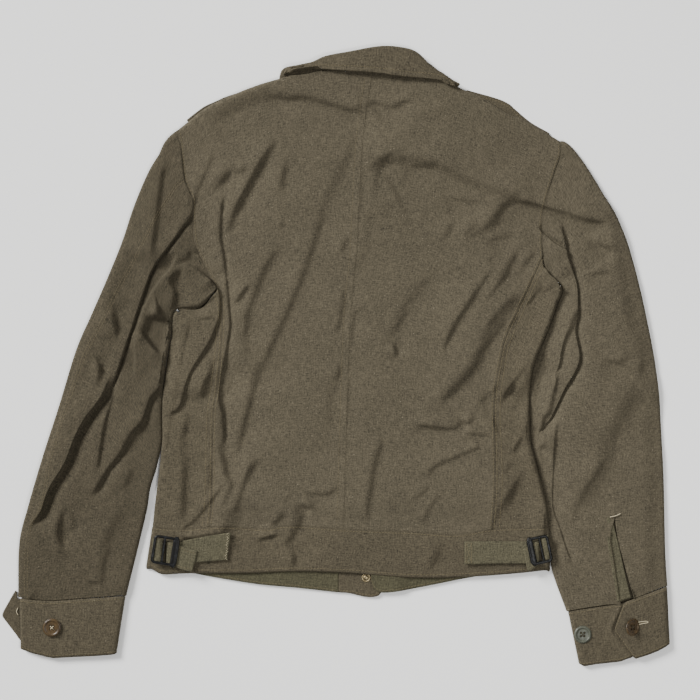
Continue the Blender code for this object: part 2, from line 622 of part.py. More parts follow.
def build_sleeve(side, arm, sections, columns, crown, tip_out, slit):
    """Upper and under sleeve; each folds round one edge and meets the other underneath."""
    grid, height = sleeve_grid(arm, sections, columns, crown)
    middle = grid[:, columns.fold]
    out_outer = side_normals(grid[:, 0], middle)
    out_inner = side_normals(grid[:, -1], middle)
    out_outer[0] = tip_out
    plan = grid.copy()
    plan[:, 0] = grid[:, 0] - out_outer * ROLL
    plan[:, -1] = grid[:, -1] - out_inner * (ROLL + SIDE_GAP)
    plan = pull_in(plan, ("top", "bottom"))
    elbow = columns.elbow

    # Upper sleeve: elbow seam, outer edge, then under to the front seam
    upper = plan[:, elbow::-1].copy()
    under = plan[:, elbow:].copy()
    if slit:
        rows = np.linspace(0.0, 1.0, len(plan))
        gape = ease((rows - SLIT_START) / (1 - SLIT_START))[:, None]
        away = plan[:, 0] - plan[:, elbow]
        away = away / np.linalg.norm(away, axis=1)[:, None]
        upper[:, 0] += away * gape * SLIT_UPPER
        under[:, 0] -= away * gape * SLIT_UNDER
    upper = pull_in(upper, ("left",))
    under = pull_in(under, ("left",))
    outer, inner = lay(upper, height[:, elbow::-1])
    round_outer, round_inner = roll_under(upper[:, -1], out_outer, height[:, 0], run=SHORT_RETURN)
    beneath = pull_in(plan[:, columns.under], ("right",))[:, 1:]
    low_outer, low_inner = lay(beneath, 0.0)
    low_inner[..., 2] = WALL
    add_wall("sleeve_upper_" + side, np.concatenate([outer, round_outer, low_outer], axis=1),
             np.concatenate([inner, round_inner, low_inner], axis=1))

    outer, inner = lay(under, height[:, elbow:])
    round_outer, round_inner = roll_under(under[:, -1], out_inner, height[:, -1], run=SHORT_RETURN)
    beneath = pull_in(plan[:, [columns.last, columns.under[-1]]], ("right",))[:, 1:]
    low_outer, low_inner = lay(beneath, 0.0)
    low_inner[..., 2] = WALL
    add_wall("sleeve_under_" + side, np.concatenate([outer, round_outer, low_outer], axis=1),
             np.concatenate([inner, round_inner, low_inner], axis=1))
    return grid


def build_side(name, side_back, lip, edge, waist):
    """Side panel: from the side-back seam out to the body's edge, and round under it."""
    inside = side_back.mean(axis=0)
    out = side_normals(edge, inside)
    edge_in = edge - out * (ROLL + SIDE_GAP)
    top = lip.copy()
    top[-1] = edge_in[0]
    bottom = waist.copy()
    bottom[-1] = edge_in[-1]
    grid = pull_in(patch(top, bottom, side_back, edge_in), ("left", "top", "bottom"))
    height = body_height(grid)
    outer, inner = lay(grid, height)
    round_outer, round_inner = roll_under(grid[:, -1], out, height[:, -1])
    add_wall(name, np.concatenate([outer, round_outer], axis=1),
             np.concatenate([inner, round_inner], axis=1), SERGE_SHADE)
    return edge_in - out * (RETURN + LAYER_GAP)


def flat_wall(name, grid, base, wall=WALL, colour=SERGE):
    """Flat piece lying at a height over the floor."""
    outer, inner = lay(grid, base + wall, wall)
    return add_wall(name, outer, inner, colour)


def front_rail(rails, side, columns):
    """Edge of a front: the armhole under the sleeve, then the body's folded edge."""
    arm = rails["arm_" + side][list(columns.under[1:] + (columns.last,))]
    return join(arm, rails["lip_" + side][:3], rails["return_" + side])


def build_fronts(rails):
    """Both fronts on the floor under the back, the right one lapped over the left."""
    arm = front_rail(rails, "left", COLUMNS_LEFT)
    left = patch(smooth(FRONT_TOP_LEFT, FRONT_COLUMNS),
                 smooth([arm[-1], (46, FRONT_HEM)], FRONT_COLUMNS),
                 arm, smooth(FRONT_EDGE_LEFT, len(arm) - 1))
    flat_wall("front_left", pull_in(left, ("left", "bottom"), 2 * LAYER_GAP), 0.0)

    arm = front_rail(rails, "right", COLUMNS_RIGHT)
    right = patch(smooth(FRONT_TOP_RIGHT, FRONT_COLUMNS),
                  smooth([(20, FRONT_HEM), arm[-1]], FRONT_COLUMNS),
                  smooth(FRONT_EDGE_RIGHT, len(arm) - 1), arm)
    right = pull_in(right, ("right", "bottom"), 2 * LAYER_GAP)
    flat_wall("front_right", right, lapped(right, FRONT_STEP))


def lapped(plan, step):
    """Height of a piece that climbs over the layer under it to the left of a step."""
    start, end = step
    return LAYER_TWO * (1 - ease((plan[..., 0] - start) / (end - start)))


def build_collar(rails):
    """Collar: the stand rises from the neck line, rolls over and falls on the back."""
    neck = join(smooth(NECK_LEFT, NECK_HALF), smooth(NECK_RIGHT, NECK_HALF))
    count = len(neck) - 1
    roll = smooth(COLLAR_ROLL, count)
    fall = smooth(COLLAR_FALL, count)
    out = side_normals(neck, BODY_MIDDLE)
    start = neck + out * SEAM_GAP
    stand = LAID_HEIGHT - COLLAR_WALL / 2
    leaf = LAID_HEIGHT + FALL_LIFT + COLLAR_WALL / 2
    bend = (leaf - stand) / 2
    crease = COLLAR_WALL / 2 + bend
    up = roll - start
    reach = np.linalg.norm(up, axis=1)
    up = up / reach[:, None]
    far = start + up * np.maximum(reach - crease, STAND_MIN)[:, None]
    down = fall - far
    span = np.linalg.norm(down, axis=1)
    fall = far + down / span[:, None] * np.maximum(span, FALL_MIN)[:, None]
    rows = []
    for point, z in ((start, stand), ((start + far) / 2, stand), (far, stand)):
        rows.append(np.column_stack([point, np.full(count + 1, z)]))
    for turn in (0.25, 0.5, 0.75):
        angle = math.pi * turn
        point = far + up * bend * math.sin(angle)
        rows.append(np.column_stack([point, np.full(count + 1, stand + bend * (1 - math.cos(angle)))]))
    for s in (0.0, 0.35, 0.7, 1.0):
        point = far + (fall - far) * s
        rows.append(np.column_stack([point, np.full(count + 1, leaf)]))
    outer, inner = offset(np.array(rows), COLLAR_WALL)
    add_wall("collar", outer, inner, SERGE_SHADE)


def build_waistband():
    """Back waistband, folded round both sides, and the front one lying under it."""
    seam = smooth(WAIST_SEAM, BAND_COLUMNS)
    edge = smooth(WAIST_EDGE, BAND_COLUMNS)
    left = smooth([seam[0], edge[0]], BAND_ROWS)
    right = smooth([seam[-1], edge[-1]], BAND_ROWS)
    out_left = side_normals(left, WAIST_MIDDLE)
    out_right = side_normals(right, WAIST_MIDDLE)
    left_in = left - out_left * ROLL
    right_in = right - out_right * ROLL
    seam[0] = left_in[0]
    edge[0] = left_in[-1]
    seam[-1] = right_in[0]
    edge[-1] = right_in[-1]
    grid = pull_in(patch(seam, edge, left_in, right_in), ("top",), 3 * SEAM_GAP)
    outer, inner = lay(grid, LAID_HEIGHT)
    height = np.full(BAND_ROWS + 1, LAID_HEIGHT)
    parts = []
    for column, out in ((0, out_left), (-1, out_right)):
        parts.append(roll_under(grid[:, column], out, height))
    (left_outer, left_inner), (right_outer, right_inner) = parts
    add_wall("waistband_back",
             np.concatenate([left_outer[:, ::-1], outer, right_outer], axis=1),
             np.concatenate([left_inner[:, ::-1], inner, right_inner], axis=1))

    front_strip("waistband_front_left", FRONT_BAND_LEFT, FRONT_BAND_START, 10, False, SERGE_SHADE)
    front_strip("waistband_tab_left", FRONT_BAND_TAB, FRONT_BAND_TAB[0][0], 4, False, SERGE)
    front_strip("waistband_front_right", FRONT_BAND_RIGHT, FRONT_BAND_RIGHT[0][0], 12, True,
                SERGE_SHADE)


def front_strip(name, edge, start, columns, laps, colour):
    """Stretch of the front waistband, which may climb over the one under it."""
    top = [(start, FRONT_BAND_TOP), (edge[-1][0], FRONT_BAND_TOP)]
    grid = between(top, edge, columns, STRAP_COLUMNS)
    base = lapped(grid, BAND_STEP) if laps else 0.0
    flat_wall(name, grid, base, colour=colour)


def build_shoulder_straps():
    """Straps that lie flat under the shoulder edges and show past them."""
    for name, edge in (("shoulder_strap_left", STRAP_LEFT), ("shoulder_strap_right", STRAP_RIGHT)):
        top = smooth(edge, 8)
        low = top - side_normals(top, BODY_MIDDLE) * STRAP_WIDTH
        grid = patch(top, low, smooth([top[0], low[0]], 2), smooth([top[-1], low[-1]], 2))
        flat_wall(name, grid, 0.0, colour=SERGE_SHADE)


def build_ribbon(name, seam, edge, middle, columns, wall, colour):
    """Band of even thickness that runs along stations, folded over itself."""
    seam = np.column_stack([seam, middle])
    edge = np.column_stack([edge, middle])
    s = np.linspace(0.0, 1.0, columns + 1)[None, :, None]
    grid = seam[:, None] * (1 - s) + edge[:, None] * s
    outer, inner = offset(grid, wall)
    add_wall(name, outer, inner, colour)


def build_cuffs():
    """Cuffs: a band that runs round the wrist from its pointed tab to its hidden end."""
    for side, stations in (("left", CUFF_LEFT), ("right", CUFF_RIGHT)):
        seam = np.array([s.seam for s in stations], dtype=float)
        edge = np.array([s.edge for s in stations], dtype=float)
        middle = np.array([s.z for s in stations])
        build_ribbon("cuff_" + side, seam, edge, middle, CUFF_COLUMNS, CUFF_WALL, SERGE_SHADE)


def build_placket():
    """Facing that shows through the opening above the right cuff."""
    grid = between(PLACKET_TOP, PLACKET_LOW, *PLACKET_CELLS)
    flat_wall("sleeve_placket_right", grid, LAYER_TWO, PLACKET_WALL, SERGE_SHADE)


def build_waist_straps():
    """Adjusting straps, sewn to the waistband at one end and turned back in their buckles."""
    for side, stations in (("left", WAIST_STRAP_LEFT), ("right", WAIST_STRAP_RIGHT)):
        seam = np.array([s.top for s in stations], dtype=float)
        edge = np.array([s.bottom for s in stations], dtype=float)
        middle = LAID_HEIGHT + np.array([s.z for s in stations])
        build_ribbon("waist_strap_" + side, seam, edge, middle, STRAP_COLUMNS, STRAP_WALL,
                     SERGE_REVERSE)
    for side, corners in (("left", SIDE_LOOP_LEFT), ("right", SIDE_LOOP_RIGHT)):
        grid = between(corners[:2], corners[:1:-1], STRAP_COLUMNS, STRAP_COLUMNS)
        flat_wall("buckle_loop_" + side, grid, LAID_HEIGHT + LAYER_GAP, STRAP_WALL)


def build_buckle(name, buckle):
    """Flat steel frame with two windows and a bar between them."""
    half_w = buckle.width / 2
    half_h = buckle.height / 2
    bar = BUCKLE_BAR
    xs = [-half_w, -half_w + bar, BUCKLE_BAR_AT - bar / 2, BUCKLE_BAR_AT + bar / 2,
          half_w - bar, half_w]
    ys = [-half_h, -half_h + bar, half_h - bar, half_h]
    windows = {(1, 1), (3, 1)}
    base = LAID_HEIGHT + BUCKLE_LIFT
    turn = math.radians(buckle.turn)
    vertices = []
    for z in (base, base + BUCKLE_WALL):
        for y in ys:
            for x in xs:
                vertices.append((buckle.centre[0] + x * math.cos(turn) - y * math.sin(turn),
                                 buckle.centre[1] + x * math.sin(turn) + y * math.cos(turn), z))
    cols = len(xs)
    layer = cols * len(ys)
    cells = {(i, j) for i in range(cols - 1) for j in range(len(ys) - 1)} - windows
    faces = []
    for i, j in sorted(cells):
        a = j * cols + i
        b = a + 1
        c = b + cols
        d = a + cols
        faces.append((a + layer, b + layer, c + layer, d + layer))
        faces.append((d, c, b, a))
        for (p, q), near in (((a, b), (i, j - 1)), ((b, c), (i + 1, j)),
                             ((c, d), (i, j + 1)), ((d, a), (i - 1, j))):
            if near not in cells:
                faces.append((p, q, q + layer, p + layer))
    frame = add_object(name, vertices, faces, BLACKED_STEEL, FITTING_ROUGHNESS, 1.0)
    bevel = frame.modifiers.new("rounded", "BEVEL")
    bevel.width = BUCKLE_EDGE * MM
    bevel.segments = 1


def build_button(name, button, colour, metallic=0.0):
    """Turned disc with a raised rim and a dished middle."""
    base = button.seat + LAYER_GAP
    profile = [(r * button.radius, z * button.height) for r, z in BUTTON_PROFILE]
    vertices = [(*button.centre, base + profile[0][1])]
    faces = []
    ring = []
    for k in range(BUTTON_SIDES):
        turn = 2 * math.pi * k / BUTTON_SIDES
        for radius, z in profile[1:-1]:
            ring.append((button.centre[0] + radius * math.cos(turn),
                         button.centre[1] + radius * math.sin(turn), base + z))
    vertices += ring
    vertices.append((*button.centre, base + profile[-1][1]))
    steps = len(profile) - 2
    top = len(vertices) - 1
    for k in range(BUTTON_SIDES):
        a = 1 + k * steps
        b = 1 + (k + 1) % BUTTON_SIDES * steps
        faces.append((0, b, a))
        for m in range(steps - 1):
            faces.append((a + m, b + m, b + m + 1, a + m + 1))
        faces.append((a + steps - 1, b + steps - 1, top))
    add_object(name, vertices, faces, colour, FITTING_ROUGHNESS, metallic)


def shared_rails():
    """Rails that more than one piece reads."""
    rails = {
        "arm_left": smooth(ARMHOLE_LEFT, ARM_LEFT),
        "arm_right": smooth(ARMHOLE_RIGHT, ARM_RIGHT),
        "side_back_left": smooth(SIDE_BACK_LEFT, SIDE_LEFT),
        "side_back_right": smooth(SIDE_BACK_RIGHT, SIDE_RIGHT),
        "centre": smooth(CENTRE_SEAM, ROWS_BODY),
    }
    for side in ("left", "right"):
        arm = rails["arm_" + side]
        out = arm[0] - arm[1]
        rails["tip_" + side] = out / np.linalg.norm(out)
    return rails


def build_jacket():
    """All pieces, from the backs to the smallest fittings."""
    rails = shared_rails()
    build_backs(rails)
    left = build_sleeve("left", rails["arm_left"], SLEEVE_LEFT, COLUMNS_LEFT,
                        CROWN_LEFT, rails["tip_left"], False)
    right = build_sleeve("right", rails["arm_right"], SLEEVE_RIGHT, COLUMNS_RIGHT,
                         CROWN_RIGHT, rails["tip_right"], True)
    for side, rail, low, rows, waist in (
            ("left", left[:, -1], BODY_EDGE_LEFT, SIDE_LEFT, WAIST_SIDE_LEFT),
            ("right", right[:, -1], BODY_EDGE_RIGHT, SIDE_RIGHT, WAIST_SIDE_RIGHT)):
        shared = rail[LIP:LIP + rows - len(low) + 1]
        edge = np.vstack([shared, np.array(low, dtype=float)])
        rails["lip_" + side] = rail[:LIP + 1]
        rails["return_" + side] = build_side("side_" + side, rails["side_back_" + side],
                                             rail[:LIP + 1], edge, smooth(waist, LIP))
    build_fronts(rails)
    build_collar(rails)
    build_shoulder_straps()
    build_waistband()
    build_placket()
    build_cuffs()
    build_waist_straps()
    build_buckle("buckle_left", BUCKLE_LEFT)
    build_buckle("buckle_right", BUCKLE_RIGHT)
    build_button("cuff_button_left", BUTTON_LEFT, BUTTON_BROWN)
    build_button("cuff_button_right", BUTTON_RIGHT, BUTTON_BROWN)
    build_button("spare_button_right", BUTTON_SPARE, BUTTON_GREY)
    build_button("waistband_snap", SNAP, BRASS, 1.0)


for old in list(bpy.data.objects):
    bpy.data.objects.remove(old)
build_jacket()
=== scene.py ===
"""Waist-length wool field jacket, laid flat with its back up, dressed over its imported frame.

Lengths are in millimetres until a mesh is made. The plan is seen from above: +X is the
viewer's right, +Y is towards the collar, Z is the height over the surface it lies on.
"""

import logging
import math
from dataclasses import dataclass
from enum import Enum
from functools import cache
from typing import Sequence

import bpy
import numpy as np
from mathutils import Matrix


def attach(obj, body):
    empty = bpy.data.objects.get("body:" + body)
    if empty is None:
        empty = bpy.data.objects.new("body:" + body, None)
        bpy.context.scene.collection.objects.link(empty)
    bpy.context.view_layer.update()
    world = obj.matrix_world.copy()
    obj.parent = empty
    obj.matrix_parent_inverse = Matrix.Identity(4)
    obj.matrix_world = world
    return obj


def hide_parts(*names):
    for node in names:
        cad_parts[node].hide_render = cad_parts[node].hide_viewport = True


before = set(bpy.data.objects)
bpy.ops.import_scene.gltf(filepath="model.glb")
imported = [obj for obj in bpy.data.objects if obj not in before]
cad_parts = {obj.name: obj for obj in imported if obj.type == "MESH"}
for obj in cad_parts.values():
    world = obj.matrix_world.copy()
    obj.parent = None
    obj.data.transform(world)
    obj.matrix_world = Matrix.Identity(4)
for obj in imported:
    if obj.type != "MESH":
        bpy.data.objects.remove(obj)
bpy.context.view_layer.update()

LOG = logging.getLogger("jacket")

MM = 0.001
Point = tuple[float, float]
Array = np.ndarray
Solid = tuple[Array, list]      # vertices and faces
Socket = bpy.types.NodeSocket

# Heights and thicknesses that the frame's solids have too
WALL = 2.0              # serge with its lining
LAID_HEIGHT = 6.8       # two walls and the air between them
LAYER_GAP = 0.3         # air between two layers
LAYER_TWO = WALL + LAYER_GAP
SEAM_GAP = 0.15         # each piece stops this short of its seam
BODY_LOFT = 1.8         # the back swells by this over its middle
RETURN = 7.0            # how far a folded edge runs on under a piece

# Fineness of the grids
CURVE_STEPS = 12        # of a smooth line between two of its points
SEAM_STEPS = (0.25, 0.9, 1.8, 3.0, 4.6)  # columns are this far from a seam before they spread
ROLL_STEPS = 10
ROLL = 4.6              # plan radius of a folded side edge
INSET_COLUMNS = 60      # a line beside an edge is looked for in this many columns

# Shares in the finer forms
CELL_SHARE = 0.4        # of a grid's cell that a seam's gap may take
EDGE_BULGE = 0.32       # of a wall, by which its rim bulges
TIP_REACH = 0.8         # of a thread's radius, by which its ends reach on
TIP_SCALE = 0.45        # of that radius, to which they narrow

# Unevenness of laid cloth
SWELL = 0.28            # height of its longest wave
WAVES = (130.0, 96.0, 71.0, 52.0, 38.0, 27.0, 19.0, 14.0)


class Held(Enum):
    """How a cloth piece is held, in the words of the frame."""

    LAID = "laid"
    FOLDED = "folded"


class Slot(Enum):
    """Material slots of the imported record."""

    SERGE = "serge"
    REVERSE = "serge_reverse"
    STEEL = "blacked_steel"
    BROWN = "button_brown"
    GREY = "button_grey"
    SNAP = "snap_metal"


# ======== Lines and grids ========


def ease(x: Array) -> Array:
    """Smooth step from 0 to 1."""
    x = np.clip(x, 0.0, 1.0)
    return x * x * (3 - 2 * x)


def unit(vectors: Array) -> Array:
    """The vectors scaled to length 1."""
    return vectors / np.maximum(np.linalg.norm(vectors, axis=-1, keepdims=True), 1e-9)


def spline(p0: Array, p1: Array, p2: Array, p3: Array, s: Array) -> Array:
    """Point at s, from 0 to 1, on the Catmull-Rom stretch from p1 to p2."""
    return 0.5 * (2 * p1 + (p2 - p0) * s + (2 * p0 - 5 * p1 + 4 * p2 - p3) * s ** 2
                  + (3 * p1 - p0 - 3 * p2 + p3) * s ** 3)


def run_of(points: Array) -> Array:
    """Length of a line of points up to each of them."""
    return np.concatenate([[0.0], np.cumsum(np.linalg.norm(np.diff(points, axis=0), axis=1))])


def resample(points: Array, run: Array, at: Array | float) -> Array:
    """Points between those of a line, at other values of the measure that run gives them."""
    return np.stack([np.interp(at, run, points[:, k]) for k in range(points.shape[1])], axis=-1)


def straight(start: Array, end: Array, share: Array) -> Array:
    """Points at the shares of a straight stretch."""
    return np.asarray(start) + (np.asarray(end) - np.asarray(start)) * share[:, None]


class Rail:
    """A smooth line through points, read by its share of length from 0 to 1."""

    def __init__(self, points: Sequence[Sequence[float]], curved: bool = True) -> None:
        """Lays a Catmull-Rom line through the points.

        Args:
            points: corners in millimetres, two or three numbers each.
            curved: False keeps the stretches between the points straight.
        """
        pts = np.array(points, dtype=float)
        if curved and len(pts) > 2:
            ends = np.vstack([2 * pts[0] - pts[1], pts, 2 * pts[-1] - pts[-2]])
            steps = np.linspace(0.0, 1.0, CURVE_STEPS, endpoint=False)[:, None]
            spans = [spline(*ends[i:i + 4], steps) for i in range(len(pts) - 1)]
            pts = np.vstack(spans + [pts[-1:]])
        self.points = pts
        self.run = run_of(pts)
        self.length = float(self.run[-1])

    def at(self, share: Array) -> Array:
        """Points at the given shares of the length."""
        return resample(self.points, self.run, np.asarray(share) * self.length)

    def __add__(self, other: "Rail") -> "Rail":
        """This line with the other one after it."""
        return Rail(np.vstack([self.points, other.points[1:]]), curved=False)


def curve(text: str) -> Rail:
    """Smooth line through plan points that are written one after the other."""
    return Rail(np.array(text.split(), dtype=float).reshape(-1, 2))


def table(text: str) -> Array:
    """Rows of numbers, written one row a line."""
    return np.array([row.split() for row in text.strip().splitlines()], dtype=float)


def steps_between(length: float, spacing: float, near: bool = True, far: bool = True) -> Array:
    """Shares of a length at which columns stand, closer together beside a seam.

    Args:
        length: distance to cover, in millimetres.
        spacing: distance between columns away from the seams.
        near: whether a seam lies at the start.
        far: whether a seam lies at the end.

    Returns:
        Rising shares from 0 to 1.
    """
    start = np.array((0.0,) + SEAM_STEPS) if near else np.zeros(1)
    end = np.array((0.0,) + SEAM_STEPS) if far else np.zeros(1)
    middle = length - start[-1] - end[-1]
    count = max(int(round(middle / spacing)), 2)
    inside = np.linspace(start[-1], length - end[-1], count + 1)[1:-1]
    return np.concatenate([start, inside, (length - end)[::-1]]) / length


def patch(top: Array, bottom: Array, left: Array, right: Array, u: Array, v: Array) -> Array:
    """Plan grid between four lines, rows from top to bottom (a Coons patch).

    Args:
        top, bottom: points at the shares u.
        left, right: points at the shares v.
        u, v: shares from 0 to 1 of the columns and the rows.
    """
    u = u[None, :, None]
    v = v[:, None, None]
    across = (1 - u) * left[:, None] + u * right[:, None]
    down = (1 - v) * top[None] + v * bottom[None]
    corners = ((1 - u) * (1 - v) * top[0] + u * (1 - v) * top[-1]
               + (1 - u) * v * bottom[0] + u * v * bottom[-1])
    return across + down - corners


def side_normals(rail: Array, inside: Array) -> Array:
    """Unit vectors in plan that point out of a line, away from the point inside."""
    along = unit(np.gradient(rail, axis=0))
    out = np.column_stack([along[:, 1], -along[:, 0]])
    return -out if np.sum(out * (rail - inside)) < 0 else out


def pull_in(grid: Array, sides: Sequence[str], gap: float = SEAM_GAP) -> Array:
    """Plan grid with the named sides drawn back from their seams."""
    out = grid.copy()
    moves = {"left": (np.s_[:, 0], np.s_[:, 1]), "right": (np.s_[:, -1], np.s_[:, -2]),
             "top": (np.s_[0], np.s_[1]), "bottom": (np.s_[-1], np.s_[-2])}
    for side in sides:
        edge, inner = moves[side]
        step = grid[inner] - grid[edge]
        size = np.linalg.norm(step, axis=-1, keepdims=True)
        out[edge] += unit(step) * np.minimum(gap, size * CELL_SHARE)
    return out


def lift_to(plan: Array, height: Array) -> Array:
    """Points in space over a plan grid."""
    return np.concatenate([plan, np.broadcast_to(height, plan.shape[:-1])[..., None]], axis=-1)


def roll_under(edge: Array, out: Array, height: Array, radius: Array | float = ROLL) -> Array:
    """Columns that carry a folded edge round to the floor, as half an ellipse in section."""
    turn = np.linspace(0.0, math.pi, ROLL_STEPS + 1)[1:]
    reach = np.broadcast_to(radius, len(edge))[:, None] * np.sin(turn)[None]
    plan = edge[:, None] + out[:, None] * reach[..., None]
    half = height[:, None] / 2
    return lift_to(plan, half + half * np.cos(turn)[None])


def tucked(edge: Array, out: Array, height: Array, radius: float = ROLL) -> Array:
    """Columns that carry a folded edge round, and a little way on under the piece."""
    back = lift_to(edge - out * RETURN, 0.0)[:, None]
    return np.concatenate([roll_under(edge, out, height, radius), back], axis=1)


def roll_over(edge: Array, out: Array, height: Array, share: Array, floor: float,
              radius: float = ROLL, steps: int = 6) -> Array:
    """Rows that carry an edge down to the layer under it.

    Args:
        edge: plan points of the edge, drawn in by the radius.
        out: unit vectors out of the piece.
        height: height of the edge.
        share: 1 where the edge turns down, 0 where it runs on flat.
        floor: height that it comes down to.
        radius: how far the turned edge reaches out.
        steps: number of rows.
    """
    rows = []
    for step in range(1, steps + 1):
        flat = step / steps
        turn = 0.5 * math.pi * flat
        reach = share * radius * math.sin(turn) + (1 - share) * radius * flat
        drop = share * (height - floor) * (1 - math.cos(turn))
        rows.append(lift_to(edge + out * reach[:, None], height - drop))
    return np.stack(rows)


def flat_lengths(points: Array) -> Array:
    """Flat coordinates of a grid, in metres: across along each row, down along the columns.

    Each row is measured from its own middle, so that the weave runs down the piece.
    """
    across = np.linalg.norm(np.diff(points, axis=1), axis=-1)
    u = np.concatenate([np.zeros((len(points), 1)), np.cumsum(across, axis=1)], axis=1)
    down = np.linalg.norm(np.diff(points, axis=0), axis=-1).mean(axis=1)
    v = np.concatenate([[0.0], np.cumsum(down)])
    u = u - u[:, -1:] / 2
    return np.stack([u, np.broadcast_to(v[:, None], u.shape)], axis=-1) * MM


# ======== Relief: creases, seams and the swell of the cloth ========


@dataclass(frozen=True)
class Crease:
    """A crease of the cloth along a line in plan, where it steps down from a raised side.

    The raised side is on the right of the line, seen along it.

    Attributes:
        path: points of the line.
        height: how far the cloth steps down.
        width: width of the step.
        lean: how far the raised side hangs over the low one.
        fade: length over which each end dies out; 0 keeps the ends.
        valley: widths over which the low side rises again; little makes a groove.
        raised: share of the step that stands above the cloth; the rest is sunk.
    """

    path: Array
    height: float
    width: float
    lean: float = 0.0
    fade: float = 14.0
    valley: float = 2.6
    raised: float = 0.52


def creases(text: str) -> tuple[Crease, ...]:
    """Creases written one a row: height, width, any further sizes, a colon and the points."""
    rows = [row.split(":") for row in text.strip().splitlines()]
    return tuple(Crease(np.array(path.split(), dtype=float).reshape(-1, 2), *map(float, sizes.split()))
                 for sizes, path in rows)


def signed_distance(path: Array, points: Array) -> tuple[Array, Array]:
    """Distance from points to a line, and how far along the line each lies.

    Args:
        path: corners of the line.
        points: plan points, one a row.

    Returns:
        The distance, positive on the right of the line, and the length along it.
    """
    a = path[:-1][None]
    step = path[1:][None] - a
    size = np.linalg.norm(step, axis=-1)
    to = points[:, None] - a
    s = np.clip(np.sum(to * step, axis=-1) / np.maximum(size, 1e-9) ** 2, 0.0, 1.0)
    gap = np.linalg.norm(to - s[..., None] * step, axis=-1)
    best = np.argmin(gap, axis=1)
    pick = (np.arange(len(points)), best)
    cross = (step[0, best, 0] * to[pick][:, 1] - step[0, best, 1] * to[pick][:, 0])
    run = np.concatenate([[0.0], np.cumsum(size[0])])[:-1]
    along = run[best] + s[pick] * size[0, best]
    return np.where(cross > 0, -1.0, 1.0) * gap[pick], along


class Relief:
    """Creases that shape a stretch of cloth."""

    CREST = 2.0         # the raised side falls away over this many widths
    HANG = 0.9          # width of the stretch that hangs over
    SET_BACK = 0.85     # the step starts this share of the lean behind the line
    REACH = 6.0         # nothing moves further from a crease than this many widths
    MOST_FADE = 0.4     # share of a line over which one of its ends may die out

    def __init__(self, creases: Sequence[Crease]) -> None:
        """Takes the creases with their lines laid out."""
        self.items = [(c, Rail(c.path)) for c in creases]
        self.lines = [r.at(np.linspace(0.0, 1.0, max(8, len(r.points) // 2))) for _, r in self.items]

    def shape(self, plan: Array) -> tuple[Array, Array]:
        """Works out how the creases move the points of a plan grid.

        Args:
            plan: grid of points in plan.

        Returns:
            The plan grid with its overhangs, and the rise of each point.
        """
        flat = plan.reshape(-1, 2)
        lift = np.zeros(len(flat))
        shift = np.zeros_like(flat)
        for (crease, rail), line in zip(self.items, self.lines):
            reach = crease.width * self.REACH + crease.lean
            low = rail.points.min(axis=0) - reach
            high = rail.points.max(axis=0) + reach
            near = np.flatnonzero(np.all((flat > low) & (flat < high), axis=1))
            if not len(near):
                continue
            s, along = signed_distance(line, flat[near])
            ends = np.ones(len(near))
            if crease.fade:
                total = rail.length
                fade = min(crease.fade, total * self.MOST_FADE)
                ends = ease(along / fade) * ease((total - along) / fade)
            x = (s - self.SET_BACK * crease.lean) / crease.width
            step = ease(x + 0.5)
            crest = np.exp(-(np.maximum(x - 0.5, 0.0) / self.CREST) ** 2)
            valley = np.exp(-(np.maximum(-0.5 - x, 0.0) / crease.valley) ** 2)
            rise = step * crest * crease.raised - (1 - step) * valley * (1 - crease.raised)
            lift[near] += ends * crease.height * rise
            if crease.lean:
                hang = step * np.exp(-(np.maximum(x - 0.5, 0.0) / self.HANG) ** 2)
                tangent = unit(np.gradient(rail.points, axis=0))
                index = np.searchsorted(rail.run, along).clip(0, len(tangent) - 1)
                left = np.column_stack([-tangent[index, 1], tangent[index, 0]])
                shift[near] += left * (ends * crease.lean * hang)[:, None]
        return plan + shift.reshape(plan.shape), lift.reshape(plan.shape[:-1])


def swell(plan: Array, seed: int) -> Array:
    """Faint unevenness of laid cloth: long waves in many directions, added up."""
    rng = np.random.default_rng(seed)
    rise = np.zeros(plan.shape[:-1])
    for length in WAVES:
        angle = rng.uniform(0.0, math.pi)
        phase = rng.uniform(0.0, 2 * math.pi)
        bend = rng.uniform(0.0, 2 * math.pi)
        along = plan[..., 0] * math.cos(angle) + plan[..., 1] * math.sin(angle)
        side = -plan[..., 0] * math.sin(angle) + plan[..., 1] * math.cos(angle)
        wave = np.sin(2 * math.pi * along / length + phase + 1.3 * np.sin(side / length * 2 + bend))
        rise += wave * SWELL * (length / WAVES[0]) ** 0.8
    return rise


# ======== Meshes ========


def placed(name: str, data: bpy.types.ID, place: Sequence[float] = (0.0, 0.0, 0.0)) -> bpy.types.Object:
    """Adds an object to the scene, its place in metres."""
    item = bpy.data.objects.new(name, data)
    item.location = place
    bpy.context.scene.collection.objects.link(item)
    return item


def mesh_object(name: str, vertices: Array, faces: list, uv: Array | None = None) -> bpy.types.Object:
    """Makes a smooth mesh object at the origin.

    Args:
        name: name of the object.
        vertices: points in millimetres, one a row.
        faces: vertex numbers of the faces, one a row.
        uv: flat coordinates of the vertices, in metres.
    """
    mesh = bpy.data.meshes.new(name)
    mesh.from_pydata(vertices * MM, [], faces)
    if uv is not None:
        index = np.empty(len(mesh.loops), dtype=np.int32)
        mesh.loops.foreach_get("vertex_index", index)
        layer = mesh.uv_layers.new(name="UVMap")
        layer.data.foreach_set("uv", uv[index].astype(np.float32).ravel())
    mesh.shade_smooth()
    return placed(name, mesh)


def normals_of(grid: Array) -> Array:
    """Unit normals of a grid of points, upwards where columns run to +X and rows to -Y."""
    down = np.gradient(grid, axis=0)
    across = np.gradient(grid, axis=1)
    return unit(np.cross(down, across))


